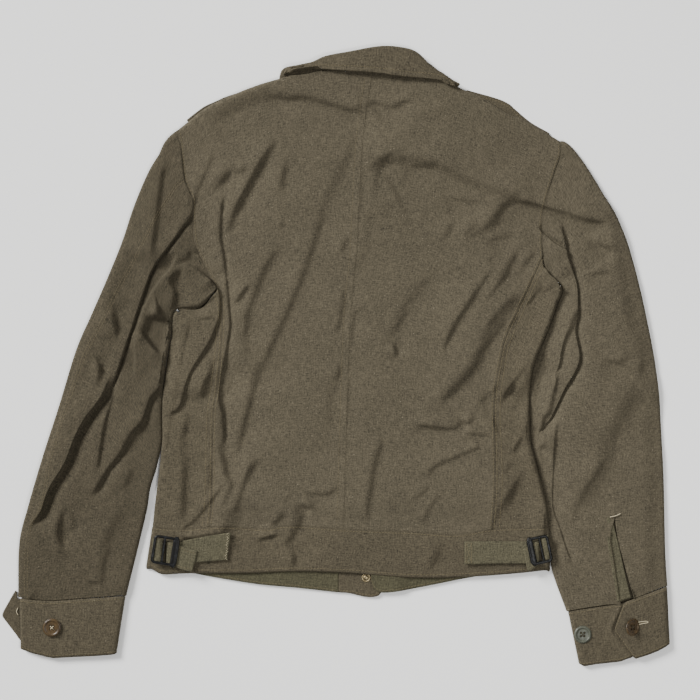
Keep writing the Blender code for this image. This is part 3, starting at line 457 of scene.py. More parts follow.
def cloth(name: str, outer: Array, wall: float = WALL, mirrored: bool = False,
          inner: Array | None = None) -> bpy.types.Object:
    """Closed wall of cloth with a soft edge all round.

    Args:
        name: name of the object.
        outer: grid of points on the face that shows.
        wall: thickness of the cloth.
        mirrored: True where the columns run to -X.
        inner: grid of points on the other face, if it isn't a plain offset.
    """
    rows, cols = outer.shape[:2]
    count = rows * cols
    sign = -1.0 if mirrored else 1.0
    if inner is None:
        inner = outer - normals_of(outer) * wall * sign
    number = np.arange(count).reshape(rows, cols)
    quads = np.stack([number[:-1, :-1], number[1:, :-1], number[1:, 1:], number[:-1, 1:]], axis=-1)
    quads = quads.reshape(-1, 4)
    ring = np.concatenate([number[0], number[1:, -1], number[-1, -2::-1], number[-2:0:-1, 0]])
    inward = np.concatenate([number[2], number[1:, -3], number[-3, -2::-1], number[-2:0:-1, 2]])
    flat = outer.reshape(-1, 3)
    flat_inner = inner.reshape(-1, 3)
    bulge = unit(flat[ring] - flat[inward]) * (wall * EDGE_BULGE)
    rim = (flat[ring] + flat_inner[ring]) / 2 + bulge
    middle = 2 * count + np.arange(len(ring))
    after = np.roll(ring, -1)
    middle_after = np.roll(middle, -1)
    faces = np.concatenate([
        quads,
        quads[:, ::-1] + count,
        np.stack([ring, after, middle_after, middle], axis=-1),
        np.stack([middle, middle_after, after + count, ring + count], axis=-1),
    ])
    if mirrored:
        faces = faces[:, ::-1]
    uv = flat_lengths(outer).reshape(-1, 2)
    return mesh_object(name + "_cloth", np.concatenate([flat, flat_inner, rim]), faces.tolist(),
                       np.concatenate([uv, uv, uv[ring]]))


def skin(grid: Array, ring: bool = False) -> Solid:
    """Closed skin of a body whose cross sections are the rows of a grid.

    Args:
        grid: points in space, each row once round the body.
        ring: True where the last row meets the first; else both ends are capped.

    Returns:
        Vertices and faces.
    """
    number = np.arange(grid.shape[0] * grid.shape[1]).reshape(grid.shape[:2])
    rows = np.vstack([number, number[:1]]) if ring else number
    beside = np.roll(rows, -1, axis=1)
    faces = np.stack([rows[:-1], rows[1:], beside[1:], beside[:-1]], axis=-1).reshape(-1, 4).tolist()
    if not ring:
        faces += [number[0].tolist(), number[-1, ::-1].tolist()]
    return grid.reshape(-1, 3), faces


def tube(path: Array, radius: float, sides: int = 8, closed: bool = False, squash: float = 1.0) -> Solid:
    """Round bar along a line of points, with rounded ends unless it is closed.

    Args:
        path: points of the middle line.
        radius: half thickness of the bar.
        sides: number of corners of its section.
        closed: True for a ring.
        squash: height of the section as a share of its width.

    Returns:
        Vertices and faces.
    """
    pts = np.asarray(path, dtype=float)
    if closed:
        along = unit(np.roll(pts, -1, axis=0) - np.roll(pts, 1, axis=0))
        scale = np.ones(len(pts))
    else:
        along = unit(np.gradient(pts, axis=0))
        reach = TIP_REACH * radius
        pts = np.concatenate([pts[:1] - along[:1] * reach, pts, pts[-1:] + along[-1:] * reach])
        along = np.concatenate([along[:1], along, along[-1:]])
        scale = np.ones(len(pts))
        scale[[0, -1]] = TIP_SCALE
    side = unit(np.cross(along, (0.0, 0.0, 1.0)))
    up = unit(np.cross(side, along))
    turn = np.arange(sides)[:, None] * 2 * math.pi / sides
    offset = side[:, None] * np.cos(turn) + up[:, None] * np.sin(turn) * squash
    return skin(pts[:, None] + offset * radius * scale[:, None, None], closed)


def joined(name: str, parts: Sequence[Solid]) -> bpy.types.Object:
    """One object from several bodies of vertices and faces."""
    faces: list = []
    start = 0
    for points, polygons in parts:
        faces += [[k + start for k in polygon] for polygon in polygons]
        start += len(points)
    return mesh_object(name, np.concatenate([points for points, _ in parts]), faces)


def inset(grid: Array, side: str, distance: float) -> Array:
    """Line of points on a grid that runs beside one of its sides.

    Args:
        grid: grid of points in space.
        side: left, right, top or bottom.
        distance: how far inside the side the line runs.
    """
    turned = {"left": grid, "right": grid[:, ::-1], "top": grid.transpose(1, 0, 2),
              "bottom": grid[::-1].transpose(1, 0, 2)}[side][:, :INSET_COLUMNS]
    return np.stack([resample(row, run_of(row), distance) for row in turned])


class Sewing:
    """Stitches of the whole jacket, gathered while its pieces are made."""

    def __init__(self) -> None:
        """Starts with no stitches."""
        self.runs: dict[str, list] = {}

    def run(self, thread: str, line: Array, length: float = 2.6, gap: float = 1.0,
            radius: float = 0.26, rise: float = 0.1) -> None:
        """Sews along a line.

        Args:
            thread: name of the thread, one piece for each.
            line: points on the cloth.
            length: length of a stitch.
            gap: cloth between two stitches.
            radius: half thickness of the thread.
            rise: how far the thread's middle stands off the line.
        """
        run = run_of(line)
        for start in np.arange(gap, run[-1] - length, length + gap):
            pts = resample(line, run, start + np.linspace(0.0, length, 4))
            pts[:, 2] += rise
            pts[[0, -1], 2] -= radius
            pts[:, 2] = np.maximum(pts[:, 2], 0.6 * radius)
            self.add(thread, tube(pts, radius, sides=6))

    def add(self, thread: str, part: Solid) -> None:
        """Adds one thread of its own shape."""
        self.runs.setdefault(thread, []).append(part)


# ======== Finishes ========


def linear(colour: str) -> tuple[float, float, float, float]:
    """Linear colour with alpha from an sRGB hex value."""
    parts = [int(colour.lstrip("#")[i:i + 2], 16) / 255 for i in (0, 2, 4)]
    return (*(p / 12.92 if p <= 0.04045 else ((p + 0.055) / 1.055) ** 2.4 for p in parts), 1.0)


class Nodes:
    """Node tree of one material, filled by small calls."""

    def __init__(self, name: str) -> None:
        """Starts a material with a Principled shader."""
        self.material = bpy.data.materials.new(name)
        self.material.use_nodes = True
        self.tree = self.material.node_tree
        self.shader = self.tree.nodes["Principled BSDF"]

    def put(self, socket: Socket, value: object) -> None:
        """Links a socket to another node's, or sets its value."""
        if isinstance(value, Socket):
            self.tree.links.new(value, socket)
        else:
            socket.default_value = value

    def add(self, kind: str, settings: dict | None = None, **links: object) -> bpy.types.Node:
        """Adds a node.

        Args:
            kind: Blender's name of the node type.
            settings: attributes of the node.
            links: values or other nodes' sockets, by input name with _ for a space.
                A name that is a number counts the inputs, as in i0.
        """
        node = self.tree.nodes.new(kind)
        for key, value in (settings or {}).items():
            setattr(node, key, value)
        for key, value in links.items():
            self.put(node.inputs[int(key[1:]) if key[1:].isdigit() else key.replace("_", " ")], value)
        return node

    def set(self, **values: object) -> None:
        """Sets or links inputs of the shader, by name with _ for a space."""
        for key, value in values.items():
            self.put(self.shader.inputs[key.replace("_", " ")], value)

    def place(self) -> Socket:
        """Place on the object, in metres."""
        return self.add("ShaderNodeTexCoord").outputs["Object"]

    def total(self, *parts: tuple[Socket, float]) -> Socket:
        """Sum of values, each times its weight."""
        rest: object = 0.0
        for value, weight in parts:
            rest = self.add("ShaderNodeMath", {"operation": "MULTIPLY_ADD"}, i0=value, i1=weight,
                            i2=rest).outputs[0]
        return rest

    def noise(self, vector: Socket, size: float, detail: float = 2.0,
              stretch: Point = (1.0, 1.0), turn: float = 0.0) -> Socket:
        """Noise whose spots have a real size.

        Args:
            vector: coordinates in metres.
            size: size of the spots in millimetres.
            detail: octaves of finer noise.
            stretch: factors by which the spots are longer across and down the piece.
            turn: angle of the stretch in degrees.
        """
        turned = self.add("ShaderNodeMapping", None, Vector=vector,
                          Rotation=(0.0, 0.0, math.radians(turn)),
                          Scale=(1 / stretch[0], 1 / stretch[1], 1.0)).outputs[0]
        return self.add("ShaderNodeTexNoise", None, Vector=turned, Scale=1 / (size * MM),
                        Detail=detail).outputs[0]

    def mix(self, factor: object, a: object, b: object) -> Socket:
        """Colour between a and b."""
        return self.add("ShaderNodeMix", {"data_type": "RGBA"}, i0=factor, i6=a, i7=b).outputs[2]

    def span(self, value: Socket, low: float, high: float,
             to_low: float = 0.0, to_high: float = 1.0) -> Socket:
        """Value mapped from one range to another, kept inside it."""
        return self.add("ShaderNodeMapRange", None, i0=value, i1=low, i2=high, i3=to_low,
                        i4=to_high).outputs[0]

    def bump(self, strength: float, depth: float, height: Socket) -> Socket:
        """Relief of the surface, its depth in millimetres."""
        return self.add("ShaderNodeBump", None, Strength=strength, Distance=depth * MM,
                        Height=height).outputs[0]


@dataclass(frozen=True)
class Serge:
    """Wool serge: a fine twill of heathered yarn with a short nap.

    Attributes:
        name: name of the material.
        dark: sRGB colour of the darker yarns, and painted shade in the weave's hollows, where the bump
            sinks.
        light: sRGB colour of the lighter yarns.
        fleck: sRGB colour of single pale fibres.
        wear: how much the cloth pales in broad patches, from 0 to 1.
    """

    name: str
    dark: str
    light: str
    fleck: str
    wear: float = 0.5

    def make(self) -> bpy.types.Material:
        """Builds the material.

        The heather breaks the flat colour into spots as fine as the photograph shows, the
        twill and the slubs give the weave its slant and its cross, the broad patches are
        wear, and the low sheen is the nap catching light at the edges.
        """
        n = Nodes(self.name)
        uv = n.add("ShaderNodeUVMap", {"uv_map": "UVMap"}).outputs[0]
        heather = n.noise(uv, 1.7, 2.0)
        warp = n.noise(uv, 1.2, 1.0, (1.0, 7.0))
        weft = n.noise(uv, 1.2, 1.0, (6.0, 1.0))
        patch_small = n.noise(uv, 16.0, 3.0)
        patch_large = n.noise(uv, 85.0, 2.0)
        # The real twill has 2 lines to the millimetre; it is drawn at 1.5 mm to show at all
        slant = n.add("ShaderNodeMapping", None, Vector=uv, Rotation=(0.0, 0.0, math.radians(32.0)))
        twill = n.add("ShaderNodeTexWave", {"wave_type": "BANDS"}, Vector=slant.outputs[0],
                      Scale=0.314 / (1.5 * MM), Distortion=1.2, Detail=2.0,
                      Detail_Scale=1.6).outputs["Fac"]
        yarn = n.total((heather, 0.9), (warp, 0.55), (weft, 0.55))
        # The tone reads the same yarn and twill noise that drives the bump, so the weave's hollows come out
        # darker: painted shade over the real heather
        tone = n.total((yarn, 1.0), (twill, 0.05), (patch_small, 0.16), (patch_large, 0.35 * self.wear))
        level = n.span(tone, 0.80, 1.41 + 0.17 * self.wear)
        colour = n.mix(level, linear(self.dark), linear(self.light))
        spots = n.span(n.noise(uv, 1.9, 1.0), 0.70, 0.78, 0.0, 0.55)
        height = n.total((yarn, 0.8), (twill, 0.35))
        n.set(Base_Color=n.mix(spots, colour, linear(self.fleck)), Roughness=0.94,
              Specular_IOR_Level=0.18, Sheen_Weight=0.12, Sheen_Roughness=0.55,
              Sheen_Tint=linear(self.light), Normal=n.bump(0.5, 0.35, height))
        return n.material


@dataclass(frozen=True)
class Thread:
    """Sewing thread: a plain colour with a slight twist.

    Attributes:
        name: name of the material.
        colour: sRGB colour of the thread.
    """

    name: str
    colour: str

    def make(self) -> bpy.types.Material:
        """Builds the material; the fine noise stands for the twist and takes off the gloss."""
        n = Nodes(self.name)
        base = linear(self.colour)
        dark = (*(c * 0.72 for c in base[:3]), 1.0)
        n.set(Base_Color=n.mix(n.noise(n.place(), 0.5, 1.0), dark, base), Roughness=0.8,
              Specular_IOR_Level=0.25)
        return n.material


@dataclass(frozen=True)
class Metal:
    """Stamped sheet metal with a worn finish.

    Attributes:
        name: name of the material.
        colour: sRGB colour of the finish.
        worn: sRGB colour where the finish has rubbed through.
        roughness: roughness of the unworn finish.
        metallic: 1 for bare metal, less under lacquer.
    """

    name: str
    colour: str
    worn: str
    roughness: float
    metallic: float

    def make(self) -> bpy.types.Material:
        """Builds the material; noise wears the finish in spots and roughens the rest."""
        n = Nodes(self.name)
        rub = n.span(n.noise(n.place(), 5.0, 4.0), 0.50, 0.70, 0.0, 0.75)
        grain = n.noise(n.place(), 0.7, 2.0)
        rough = n.span(grain, 0.3, 0.7, self.roughness - 0.06, self.roughness + 0.12)
        n.set(Base_Color=n.mix(rub, linear(self.colour), linear(self.worn)), Roughness=rough,
              Metallic=self.metallic, Normal=n.bump(0.2, 0.1, grain))
        return n.material


@dataclass(frozen=True)
class Moulded:
    """Moulded plastic button stock.

    Attributes:
        name: name of the material.
        colour: sRGB colour of the plastic.
        cloud: sRGB colour of the clouds in it.
        roughness: roughness of the polished face.
    """

    name: str
    colour: str
    cloud: str
    roughness: float

    def make(self) -> bpy.types.Material:
        """Builds the material; soft clouds and fine scratches keep it from looking new."""
        n = Nodes(self.name)
        clouds = n.span(n.noise(n.place(), 4.0, 3.0), 0.35, 0.7)
        scuff = n.noise(n.place(), 0.6, 2.0, (1.0, 5.0), 25.0)
        rough = n.span(scuff, 0.35, 0.7, self.roughness, self.roughness + 0.2)
        n.set(Base_Color=n.mix(clouds, linear(self.colour), linear(self.cloud)), Roughness=rough,
              Specular_IOR_Level=0.35, Normal=n.bump(0.12, 0.1, scuff))
        return n.material


FINISHES = {
    "serge": Serge("wool_serge", "#2B2820", "#5C5545", "#8C8370", 0.55),
    # Darker copy of the serge: partly real wear of collar, cuffs and bands, partly painted shade, chiefly on
    # the side panels at the body's edges
    "serge_worn_painted_shade": Serge("wool_serge_collar_and_bands_worn_painted_shade", "#29261E", "#585141", "#857C69", 0.35),
    "reverse": Serge("wool_serge_reverse", "#2E2C22", "#5E5A47", "#8A8570", 0.3),
    # Darker copy of the reverse serge for the front waistband under the back one: its own reverse colour,
    # darkened further as painted shade from the back band over it
    "inner_band_painted_shade": Serge("wool_serge_inner_waistband_painted_shade", "#2A281E", "#53503D", "#7F7A64", 0.3),
    # Darker copy of the serge for the left sleeve: painted shade, since this sleeve falls darker under the
    # lamps
    "serge_dark": Serge("wool_serge_left_sleeve_painted_shade", "#26241C", "#524B3C", "#807763", 0.35),
    "thread": Thread("sewing_thread_olive", "#6B6149"),
    "thread_dark": Thread("sewing_thread_dark", "#3C3628"),
    "thread_pale": Thread("sewing_thread_pale", "#B9AE92"),
    "steel": Metal("blacked_steel", "#0F0F0E", "#2A2C2F", 0.42, 0.6),
    "brass": Metal("dull_brass", "#7C7056", "#B4A98A", 0.42, 1.0),
    "brown": Moulded("button_plastic_brown", "#362A19", "#4D3D25", 0.30),
    "grey": Moulded("button_plastic_grey_green", "#3A3C32", "#505246", 0.38),
}


@cache
def material_of(key: str) -> bpy.types.Material:
    """Material of that key, built at the first call."""
    return FINISHES[key].make()


def dress(item: bpy.types.Object, finish: str, nodes: Sequence[str] = ()) -> None:
    """Gives a piece its material and its body, and hides the CAD nodes that it stands for."""
    item.data.materials.append(material_of(finish))
    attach(item, "root")
    if nodes:
        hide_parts(*nodes)


# ======== Lines of the jacket, measured off its picture, in plan millimetres ===============

ARMHOLE_LEFT = curve("-177 253 -174 235 -170 199 -161 174 -160 150 -157 123 -146 99 -134 74")
ARMHOLE_RIGHT = curve("250 240 249 224 241 199 234 176 230 156 229 136 230 111")
CENTRE_SEAM = curve("40 320 38 304 29 234 23 119 17 58 13 -26 8 -193")
SIDE_BACK_LEFT = curve("-134 74 -128 55 -129 12 -137 -60 -139 -156 -142 -190")
SIDE_BACK_RIGHT = curve("230 111 217 82 203 52 189 21 183 -4 176 -49 177 -133 174 -193")
SHOULDER_LEFT = curve("-177 253 -166 262 -147 277 -121 290 -88 303 -57 312")
SHOULDER_RIGHT = curve("135 301 146 296 160 291 192 271 206 266 235 249 250 240")
NECK_LEFT = curve("-57 312 -35 314 -18 318 1 319 40 320")
NECK_RIGHT = curve("40 320 85 315 106 312 119 308 135 301")
WAIST_LEFT = curve("-142 -190 -127 -190 -79 -193 -54 -189 8 -193")
WAIST_RIGHT = curve("8 -193 82 -196 135 -199 174 -193")
WAIST_SIDE_LEFT = curve("-142 -190 -176 -193 -205.5 -190.8")
WAIST_SIDE_RIGHT = curve("174 -193 237.6 -190.8")
BODY_EDGE_LEFT = ((-197, -119), (-200, -143), (-203, -166), (-205.5, -190.8))
BODY_EDGE_RIGHT = ((235, -165), (237.6, -190.8))
WAIST_SEAM = curve("-206 -191 -176 -193 -127 -190 -79 -193 -54 -189 "
                   "8 -193 82 -196 135 -199 174 -193 238.4 -191")
WAIST_EDGE = curve("-213 -237 -197 -244 -164 -243 -102 -243 -44 -241 "
                   "15 -243 82 -248 145 -247 190 -244 239 -239.5")
BODY_MIDDLE = np.array([30.0, 0.0])
WAIST_MIDDLE = np.array([0.0, -215.0])

# Sections of the sleeves, from the armhole to the cuff: plan points of the outer edge, the
# elbow seam, the deep fold and the inner edge, and how far the section swells
SECTIONS_LEFT = table("""
-198 226 -185 180 -178 132 -152 55 0.6
-212 202 -200 157 -192 114 -180 51 0.9
-227 166 -212 133 -206 96 -185 22 1.1
-240 127 -226 106 -214 73 -190 -8 1.2
-257 85 -242 77 -227 39 -194 -40 1.3
-274 46 -260 40 -236 7 -195 -70 1.3
-291 7 -280 3 -247 -25 -195 -95 1.2
-310 -55 -301 -56 -272 -52 -201 -125 1.2
-328 -111 -319 -113 -299 -105 -208 -148 1.1
-344 -166 -335 -168 -321 -150 -212 -173 1
-354.5 -208 -345 -210 -326 -198 -221 -211 0.6
-356 -269 -347 -272 -318 -273 -235 -268 0
""")
SECTIONS_RIGHT = table("""
300 178 269 148 251 120 235 93 0.8
320 141 284 116 266 96 252 77 1.2
332 105 297 84 271 70 246 56 1.4
342 65 305 49 270 40 237 30 1.5
350 27 310 16 269 10 222 -6 1.5
353 12 311 -1 267 -4 217 -32 1.5
357 -12 312 -20 262 -24 216 -56 1.5
361 -44 313 -49 250 -48 216 -77 1.4
363 -77 313 -83 242 -77 218 -100 1.3
366 -139 311 -142 245 -137 228 -138 1.1
367 -190 312 -192 255 -188 236 -182 0.7
368 -226 318 -233 268 -236 240 -235 0.4
370 -257 324 -274 285 -280 257 -285.3 0
""")

# Fronts, under the back; the left one lies lowest
FRONT_TOP_LEFT = curve("-171 216 -150 236 -116 255 -84 266 -66 290 -60 314 -42 321 -10 329 30 337")
FRONT_TOP_RIGHT = curve("30 337 66 339 100 324 122 298 128 256 165 246 190 234 222 213 244 207")
FRONT_EDGE_LEFT = curve("30 337 40 240 46 0 46 -199")
FRONT_EDGE_RIGHT = curve("30 337 22 240 20 0 20 -199")
FRONT_STEP = (70.0, 100.0)      # between these the right front climbs over the left one
BAND_STEP = (68.0, 84.0)        # and the right waistband over the left one

# Collar: roll edge and fall edge
COLLAR_ROLL = curve("-59 315 -55 322 -44 324.5 -27 328.5 -12 335 14 340 "
                    "49 346 74 344.5 90 339 106 323.5 120 315 137 303")
COLLAR_FALL = curve("-50 318 -32 321 -16 320 10 318 40 316 71 312 99 309.5 119 307 134 302")

# Front waistband, as far as it shows below the back one
FRONT_BAND_TOP = -200.0
FRONT_BAND_START = -191.5
FRONT_BAND_LEFT = curve("-201.5 -235 -158 -243 -125 -249 -86 -255 -43 -259 2 -264")
FRONT_BAND_TAB = curve("2.6 -264 15 -265 33 -269 46 -268 52 -261")
FRONT_BAND_RIGHT = curve("39 -252 43 -261 52 -264 73 -262 105 -256 145 -248 190 -240 223.5 -232")

# Shoulder straps, along the shoulder edge
STRAP_LEFT = curve("-94 299 -121 290.5 -136 284 -147 279 -157 272 -167 264")
STRAP_RIGHT = curve("146 297 178 288 192 282 199 276 217 261 238 249")

# Heights of the middle of each layer of cuff and strap
CUFF_WALL = 2.0
MID = 1.5 * CUFF_WALL + LAYER_GAP
HIGH = MID + CUFF_WALL + LAYER_GAP
TIP_LIFT = 0.9          # the right cuff's underlap stands off by this
STRAP_WALL = 1.4
ON_BAND = LAID_HEIGHT + 1.9 + STRAP_WALL / 2
ON_STRAP = ON_BAND + STRAP_WALL + LAYER_GAP

# Cross lines of the bands, along each: plan points of the two ends, and the height
CUFF_LEFT = table("""
-373.4 -287.5 -373.4 -292 1
-358.5 -261 -358 -312 1
-357 -273.3 -356 -315.5 1
-344 -273.5 -343 -327 1
-300 -273.5 -300 -334 1
-262 -271 -266 -333 1
-241 -269.4 -250 -331.5 1
-237.5 -269 -247.2 -331.6 1.7
-236 -268.9 -246.2 -332 3.3
-237.5 -268.9 -247.2 -332.4 4.9
-241 -269 -250 -333 5.6
-268 -270.8 -270 -334.5 5.6
-292 -272.4 -292 -335.5 5.6
-316 -274.3 -317 -337 5.6
-340 -273.2 -338 -332 5.6
-351.5 -271.4 -350.5 -327.5 5.6
-353.4 -271.3 -352.4 -327 5.15
-354 -271.3 -353 -326.8 4.45
-353.4 -271.5 -352.4 -326.6 3.75
-351.5 -271.8 -350.5 -326 3.3
-330 -274.5 -330 -327 3.3
""")
CUFF_RIGHT = table("""
311 -303 311 -308 6.2
321 -275.8 333 -338 6.2
338 -269.6 346 -334 6.2
354 -263.7 359 -329 6.2
364 -260 368 -324 6.2
368.2 -258.7 371.2 -322 4.9
369.6 -258.3 372.4 -321 3.3
368.2 -258.9 371.2 -320.4 1.7
364 -260.6 368 -322 1
340 -269.6 344 -331 1
312 -277.8 316 -338 1
285 -281.2 290 -341 1
262 -285.3 274 -343 1
259.9 -285.7 271.8 -343.4 1.45
259.3 -285.8 271.2 -343.6 2.55
259.9 -285.7 271.8 -343.8 3.75
262 -285.3 276 -346.3 4.2
292 -280.3 290 -344 4.2
318 -277 318 -341 4.2
334 -272 334 -334 4.2
""")
WAIST_STRAP_LEFT = table("""
-118 -197 -122 -227 9.4
-145 -201 -148 -229 9.4
-175 -207 -177 -232 9.4
-189 -207 -189 -232.5 9.4
-190.6 -207 -190.6 -232.5 10.25
-189 -207 -189 -232.5 11.1
-178 -209 -180 -234 11.1
-166 -215 -171 -238 11.1
-155 -217.5 -161 -240 11.1
""")
WAIST_STRAP_RIGHT = table("""
143 -207 143 -232 9.4
180 -207 180 -231 9.4
210 -207 210 -231 9.4
225 -206 225 -232 9.4
226.6 -206 226.6 -232 10.25
225 -206 225 -232 11.1
217 -210 219 -237 11.1
208 -215 213 -239 11.1
""")
LOOP_LEFT = table("""
-204.5 -203.5 -206 -228 10.5
-202 -203.5 -203 -229 12
-197 -204 -197 -230 12.1
-194 -204.5 -194 -230 10.5
""")
LOOP_RIGHT = table("""
226.5 -201.5 230 -228 10.7
229 -201 232.5 -227.5 12
234 -200 237 -226 12
236 -199.5 238.5 -225.5 10.7
""")

# Creases, each with its raised side on the right of its line, seen along it
# The jacket's large folds
FOLDS = creases("""
5.8 3.6 3.4 14 0.8 0.38: -158 161 -182 128 -203 99 -214 72 -231 21 -247 -27 -259 -46 -268 -57
10 7 6 30 1.5 0.4: -244 -18 -266 -54 -279 -71 -290 -92 -301 -120 -318 -148 -329 -177 -339 -198
1.8 5.5 1: -135 231 -146 204 -156 181 -162 155 -171 142
3.4 5 2: -227 -27 -226 -2 -226 19 -220 43 -211 64 -200 82 -185 101 -178 119
5 5 2.5 20 1.2 0.45: -184 48 -184 31 -185 4 -195 -32 -207 -49 -216 -74 -228 -87 -240 -109 -256 -130 -273 -161
5 5.5 1: -169 99 -184 85 -180 73 -181 59 -185 45
3 4.5 2: -248 -41 -254 -62 -259 -82 -267 -133
9 6 1: -180 101 -169 103 -156 99 -144 88 -135 74
3.4 5 1.5 14 1.6: -135 73 -138 66 -147 58 -161 52 -171 52 -179 56
1.4 4 0.5: -173 131 -161 123 -152 110 -144 97
4.2 6 3: -147 94 -138 85 -130 72 -129 47 -134 31 -142 13 -163 -22 -174 -57 -189 -68
3.2 4 2 20 1.2: -122 186 -127 168 -129 133 -125 110 -119 50 -119 26 -130 -41 -126 -65 -124 -105
8 5.4 7 34 1.2 0.45: 258 155 257 127 259 112 266 92 270 75 270 44 268 27 272 -6 254 -41 237 -77 225 -96
7.5 7: 242 85 253 75 241 37 222 -4 217 -30 217 -60 214 -85 222 -122 234 -161 234 -196 240 -224
6 5 3: 229 105 240 94 250 81 254 74
5.5 7 3.5: 265 57 253 6 251 -8 246 -24
5.5 6 3: 250 -16 235 -60 230 -68 227 -87
5.5 2.8 1.6 10 0.8 0.3: 229 148 229 140 238 132 255 112
2.6 7.5 2: 309 148 298 149 279 151 260 158 238 164 217 170 200 171
2.4 7.5 1: 217 -7 204 -22 188 -45 184 -58
2.2 4 1: 249 -66 244 -96 242 -164 250 -192 260 -223 267 -234
2.6 3 0.8: -270 -3 -265 -9 -257 -20
2 3: -260 -6 -266 -20
1.2 3.4: -250 -208 -258 -228 -262 -262
2.4 2.6: -262 -254 -277 -251
1.8 3.4: 313 94 291 92 273 90
2.4 3.2: -137 43 -157 41
3 4 0.5: 240 67 228 81
2.6 4 0 10 1 0.7: -119 -196 -148 -200.5 -180 -206
""")
# Broad, soft folds
SOFT_FOLDS = creases("""
3.9 18 0 30: 50 277 20 274 -39 289 -79 291 -151 260
6.4 15 0 30: 222 170 178 183 139 198 105 214 52 218 32 197
2.4 6 0 14: 168 171 140 174 121 178
2.4 8 0 20: 206 159 170 143 139 127
1.9 18 0 30: 40 175 31 119 22 80
4.2 12 0 30: 309 125 294 149 255 156 206 172 188 168 174 152 153 144
1.8 12 0 30: 21 265 14 225 -14 166 -43 74 -85 -18
5 18 0 30: 223 81 176 35 153 -11 122 -46 122 -62
3.8 12 0 30: -123 13 -129 -39 -129 -102 -114 -153
5.1 24 0 30: 340 -28 304 -95 300 -118 270 -178
2.6 18 0 30: 347 -54 353 -153 349 -204 358 -273
3.2 8 0 30: -72 235 -114 159 -115 149
3 12 0 30: -91 6 -90 -19 -111 -113
2.3 12 0 30: -60 123 -79 95 -98 45 -100 -24
2.4 12 0 30: -157 -64 -166 -72 -172 -101 -169 -121 -172 -198
3.1 18 0 30: 306 122 314 118 329 35 338 19 344 -15 335 -30
5.3 24 0 30: -98 -147 -111 -169 -122 -199 -118 -206 -127 -223
2.3 12 0 30: 166 85 129 30 122 3
1.9 12 0 30: 108 103 106 92 77 55 63 28 62 13 72 0
2.8 18 0 30: -225 125 -254 58 -242 28
2 12 0 30: 174 -32 163 -50 179 -83
2.6 12 0 30: -24 -172 -38 -172 -52 -207 -52 -223
2.7 18 0 30: 122 -202 101 -241
2 12 0 30: 52 -85 39 -141 34 -192
1.5 12 0 30: 7 -7 -6 -43 -12 -105
5.4 24 0 30: -136 -7 -134 -49
5.4 24 0 30: -191 120 -200 97
2.3 12 0 30: 203 128 199 110 172 69
1.9 12 0 30: 134 -82 82 -78 74 -72 74 -64
3 12 0 30: -79 -112 -94 -124 -104 -150
2.4 12 0 30: -227 -164 -244 -179 -259 -216 -264 -259
3.1 12 0 30: -207 -55 -225 -90 -240 -119
3 12 0 30: -307 -172 -309 -207 -292 -217
3.4 12 0 30: 208 -131 185 -175
1.9 12 0 30: -55 233 -63 175
1.9 18 0 30: 135 259 114 269 69 274
3.6 12 0 30: -101 207 -119 206 -135 185
4.5 12 0 30: 202 -26 184 -49
2.8 12 0 30: 246 -77 241 -100 244 -133
3 12 0 30: -141 -17 -150 -54
4 14 0 24: 236 16 207 -40 190 -60
""")
